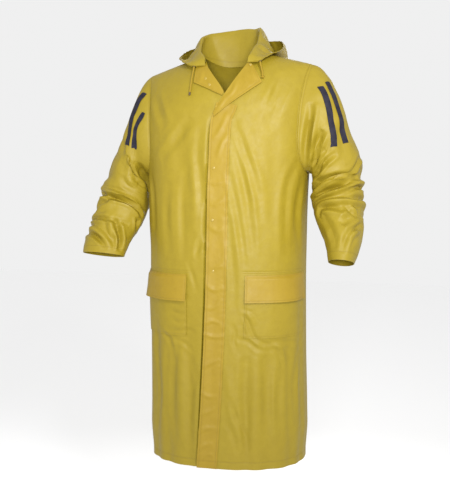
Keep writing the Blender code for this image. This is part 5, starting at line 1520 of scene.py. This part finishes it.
# ---------------------------------------------------------------- materials
class Nodes:
    """Short ways to add and join shader nodes."""

    def __init__(self, name):
        self.material = bpy.data.materials.new(name)
        self.material.use_nodes = True
        self.tree = self.material.node_tree
        self.shader = self.tree.nodes["Principled BSDF"]
        self.place = self.add("TexCoord").outputs["Object"]

    def fill(self, node, entries):
        """Set a node's inputs to numbers and colours, or join them to other nodes' outputs."""
        for key, value in entries.items():
            entry = node.inputs[key]
            if isinstance(value, bpy.types.NodeSocket):
                self.tree.links.new(value, entry)
            else:
                entry.default_value = (*value, 1.0) if entry.type == "RGBA" else value

    def add(self, kind, entries=None, **settings):
        node = self.tree.nodes.new("ShaderNode" + kind)
        for key, value in settings.items():
            setattr(node, key, value)
        self.fill(node, entries or {})
        return node

    def noise(self, scale, detail=3.0, rough=0.55, warp=0.0):
        return self.add("TexNoise", {"Scale": scale, "Detail": detail, "Roughness": rough,
                                     "Distortion": warp, "Vector": self.place}).outputs["Fac"]

    def crumple(self, scale, warp):
        """Height of crumpled cloth: cells with straight valleys, bent out of shape by noise."""
        noise = self.add("TexNoise", {"Scale": scale * 0.45, "Detail": 3.0, "Vector": self.place})
        bend = self.add("VectorMath", {"Scale": warp * 4, "Vector": noise.outputs["Color"]},
                        operation="SCALE")
        moved = self.add("VectorMath", {0: self.place, 1: bend.outputs["Vector"]}, operation="ADD")
        return self.add("TexVoronoi", {"Scale": scale, "Vector": moved.outputs["Vector"]},
                        feature="F1").outputs["Distance"]

    def span(self, value, low, high, to_low, to_high):
        return self.add("MapRange", {"Value": value, "From Min": low, "From Max": high,
                                     "To Min": to_low, "To Max": to_high}).outputs["Result"]

    def mix(self, factor, one, two):
        return self.add("Mix", {"Factor": factor, "A": one, "B": two},
                        data_type="RGBA").outputs["Result"]

    def bump(self, height, strength, distance, below=None):
        entries = {"Strength": strength, "Distance": distance, "Height": height}
        if below is not None:
            entries["Normal"] = below
        return self.add("Bump", entries).outputs["Normal"]

    def finish(self, colour, rough, normal=None, shine=None):
        entries = {"Base Color": colour, "Roughness": rough}
        if normal is not None:
            entries.update({"Normal": normal, "Specular IOR Level": shine})
        self.fill(self.shader, entries)
        return self.material


def coated(name, colour, deep):
    """Satin PVC coating on a woven cloth; painted shade darkens it along its stitch lines, where
    the cloth is pulled in.
    """
    n = Nodes(name)
    wide = n.span(n.noise(3.2, 4.0, 0.6, 0.6), 0.32, 0.68, 0.0, 1.0)
    fine = n.span(n.noise(42.0, 5.0, 0.6, 0.4), 0.30, 0.70, 0.0, 0.30)
    tint = n.mix(wide, colour, tuple(c * s for c, s in zip(colour, (0.955, 0.965, 0.88))))
    tint = n.mix(fine, tint, deep)
    # painted shade: the stitch lines' weight, stored as the seam attribute, darkens the colour
    # towards deep
    seam = n.add("Attribute", attribute_name="seam").outputs["Fac"]
    tint = n.mix(n.span(seam, 0.0, 1.0, 0.0, 0.45), tint, deep)
    rough = n.span(n.noise(60.0, 4.0, 0.6), 0.3, 0.7, 0.47, 0.60)
    normal = n.bump(n.crumple(24.0, 0.035), 0.19, 0.0030)
    normal = n.bump(n.crumple(70.0, 0.012), 0.22, 0.0010, normal)
    normal = n.bump(n.noise(120.0, 3.0, 0.6, 0.5), 0.16, 0.0006, normal)
    normal = n.bump(n.noise(1400.0, 2.0), 0.12, 0.00018, normal)
    return n.finish(tint, rough, normal, 0.32)


def woven(name, colour, light):
    """Narrow woven tape with a fine rib."""
    n = Nodes(name)
    wave = n.add("TexWave", {"Scale": 260.0, "Distortion": 1.2, "Detail": 2.0, "Vector": n.place},
                 bands_direction="Z")
    tint = n.mix(n.span(n.noise(55.0, 4.0), 0.35, 0.7, 0.0, 1.0), colour, light)
    normal = n.bump(wave.outputs["Fac"], 0.35, 0.0004)
    normal = n.bump(n.noise(700.0, 2.0), 0.2, 0.0002, normal)
    return n.finish(tint, 0.70, normal, 0.2)


def painted(name, colour, rough):
    """Painted metal cap, slightly uneven."""
    n = Nodes(name)
    tint = n.mix(n.span(n.noise(400.0, 3.0), 0.3, 0.7, 0.0, 0.4), colour,
                 tuple(c * 0.8 for c in colour))
    return n.finish(tint, rough, n.bump(n.noise(900.0, 2.0), 0.1, 0.0001), 0.6)


def braided(name, colour, deep):
    """Braided cord: two slanting waves, with painted shade in the grooves between them."""
    n = Nodes(name)
    waves = []
    for turn in (0.9, -0.9):
        slant = n.add("Mapping", {"Rotation": (0.0, turn, 0.3), "Vector": n.place})
        waves.append(n.add("TexWave", {"Scale": 190.0, "Distortion": 0.8,
                                       "Vector": slant.outputs["Vector"]}, bands_direction="X"))
    both = n.add("Math", {k: wave.outputs["Fac"] for k, wave in enumerate(waves)},
                 operation="MAXIMUM").outputs[0]
    # painted shade: the tint goes to deep where the waves' height is low, in the braid's grooves
    tint = n.mix(n.span(both, 0.2, 0.9, 0.0, 1.0), deep, colour)
    return n.finish(tint, 0.65, n.bump(both, 0.5, 0.0006), 0.3)


# ---------------------------------------------------------------- stage, light and camera
def aimed(obj, where, towards):
    obj.location = where
    obj.rotation_euler = (Vector(towards) - obj.location).to_track_quat("-Z", "Y").to_euler()


def build_stage():
    """Pale floor, soft light mostly from the front and above, and the camera."""
    floor = bpy.data.meshes.new("floor")
    floor.from_pydata([(x * FLOOR_REACH, y * FLOOR_REACH, FLOOR_Z)
                       for x, y in ((-1, -1), (1, -1), (1, 1), (-1, 1))], [], [(0, 1, 2, 3)])
    plane = add_object("floor", floor)
    floor.materials.append(Nodes("pale_floor").finish(FLOOR_COLOUR, 0.9))
    scene = bpy.context.scene
    scene.world = bpy.data.worlds.new("studio")
    scene.world.use_nodes = True
    back = scene.world.node_tree.nodes["Background"]
    back.inputs["Color"].default_value = (1.0, 1.0, 1.0, 1.0)
    back.inputs["Strength"].default_value = WORLD
    for name, where, towards, size, power, spread in LIGHTS:
        light = bpy.data.lights.new(name, "AREA")
        light.shape = "DISK"
        light.size = size
        light.energy = power
        light.spread = math.radians(spread)
        aimed(add_object(name, light), where, towards)
    scene.view_settings.view_transform = "Standard"
    camera = bpy.data.cameras.new("camera")
    camera.lens = CAMERA_LENS
    camera.sensor_width = 36.0
    camera.shift_x = CAMERA_SHIFT
    scene.camera = add_object("camera", camera)
    turn = math.radians(CAMERA_TURN)
    aimed(scene.camera, (CAMERA_AWAY * math.sin(turn), -CAMERA_AWAY * math.cos(turn), CAMERA_Z),
          (0.0, 0.0, CAMERA_AIM_Z))


def build():
    for look, name, *values in (
            (coated, "coated_cloth", YELLOW, DEEP),
            (coated, "coated_cloth_facing", WARM_YELLOW, WARM_DEEP),
            (painted, "thread", THREAD, 0.6), (woven, "tape_cloth", NAVY, NAVY_LIGHT),
            (painted, "snap_cap", SNAP_YELLOW, 0.32),
            (braided, "cord", WARM_YELLOW, WARM_DEEP), (painted, "cord_tip", TIP_BROWN, 0.4)):
        LOOKS[name] = look(name, *values)
    build_fronts_and_back()
    build_storm_flap()
    build_lapel("lapel_right", -1, LAPEL_RIGHT_FOLD, LAPEL_RIGHT_EDGE, LAPEL_LIFT)
    build_lapel("lapel_left", 1, LAPEL_LEFT_FOLD, LAPEL_LEFT_EDGE, LAPEL_LEFT_LIFT)
    for side, name in ((1, "left"), (-1, "right")):
        build_pocket(side, name)
    build_tapes(*build_sleeve(1, "left", SLEEVE_LEFT, CREASES_LEFT, LEFT_CREASES), TAPES_LEFT)
    build_tapes(*build_sleeve(-1, "right", SLEEVE_RIGHT, CREASES_RIGHT, RIGHT_CREASES), TAPES_RIGHT)
    build_hood()
    build_snaps()
    build_cord("right", CORD_RIGHT, "fitting")
    build_cord("left", CORD_LEFT, "knot")
    build_stage()


build()
bpy.context.view_layer.update()
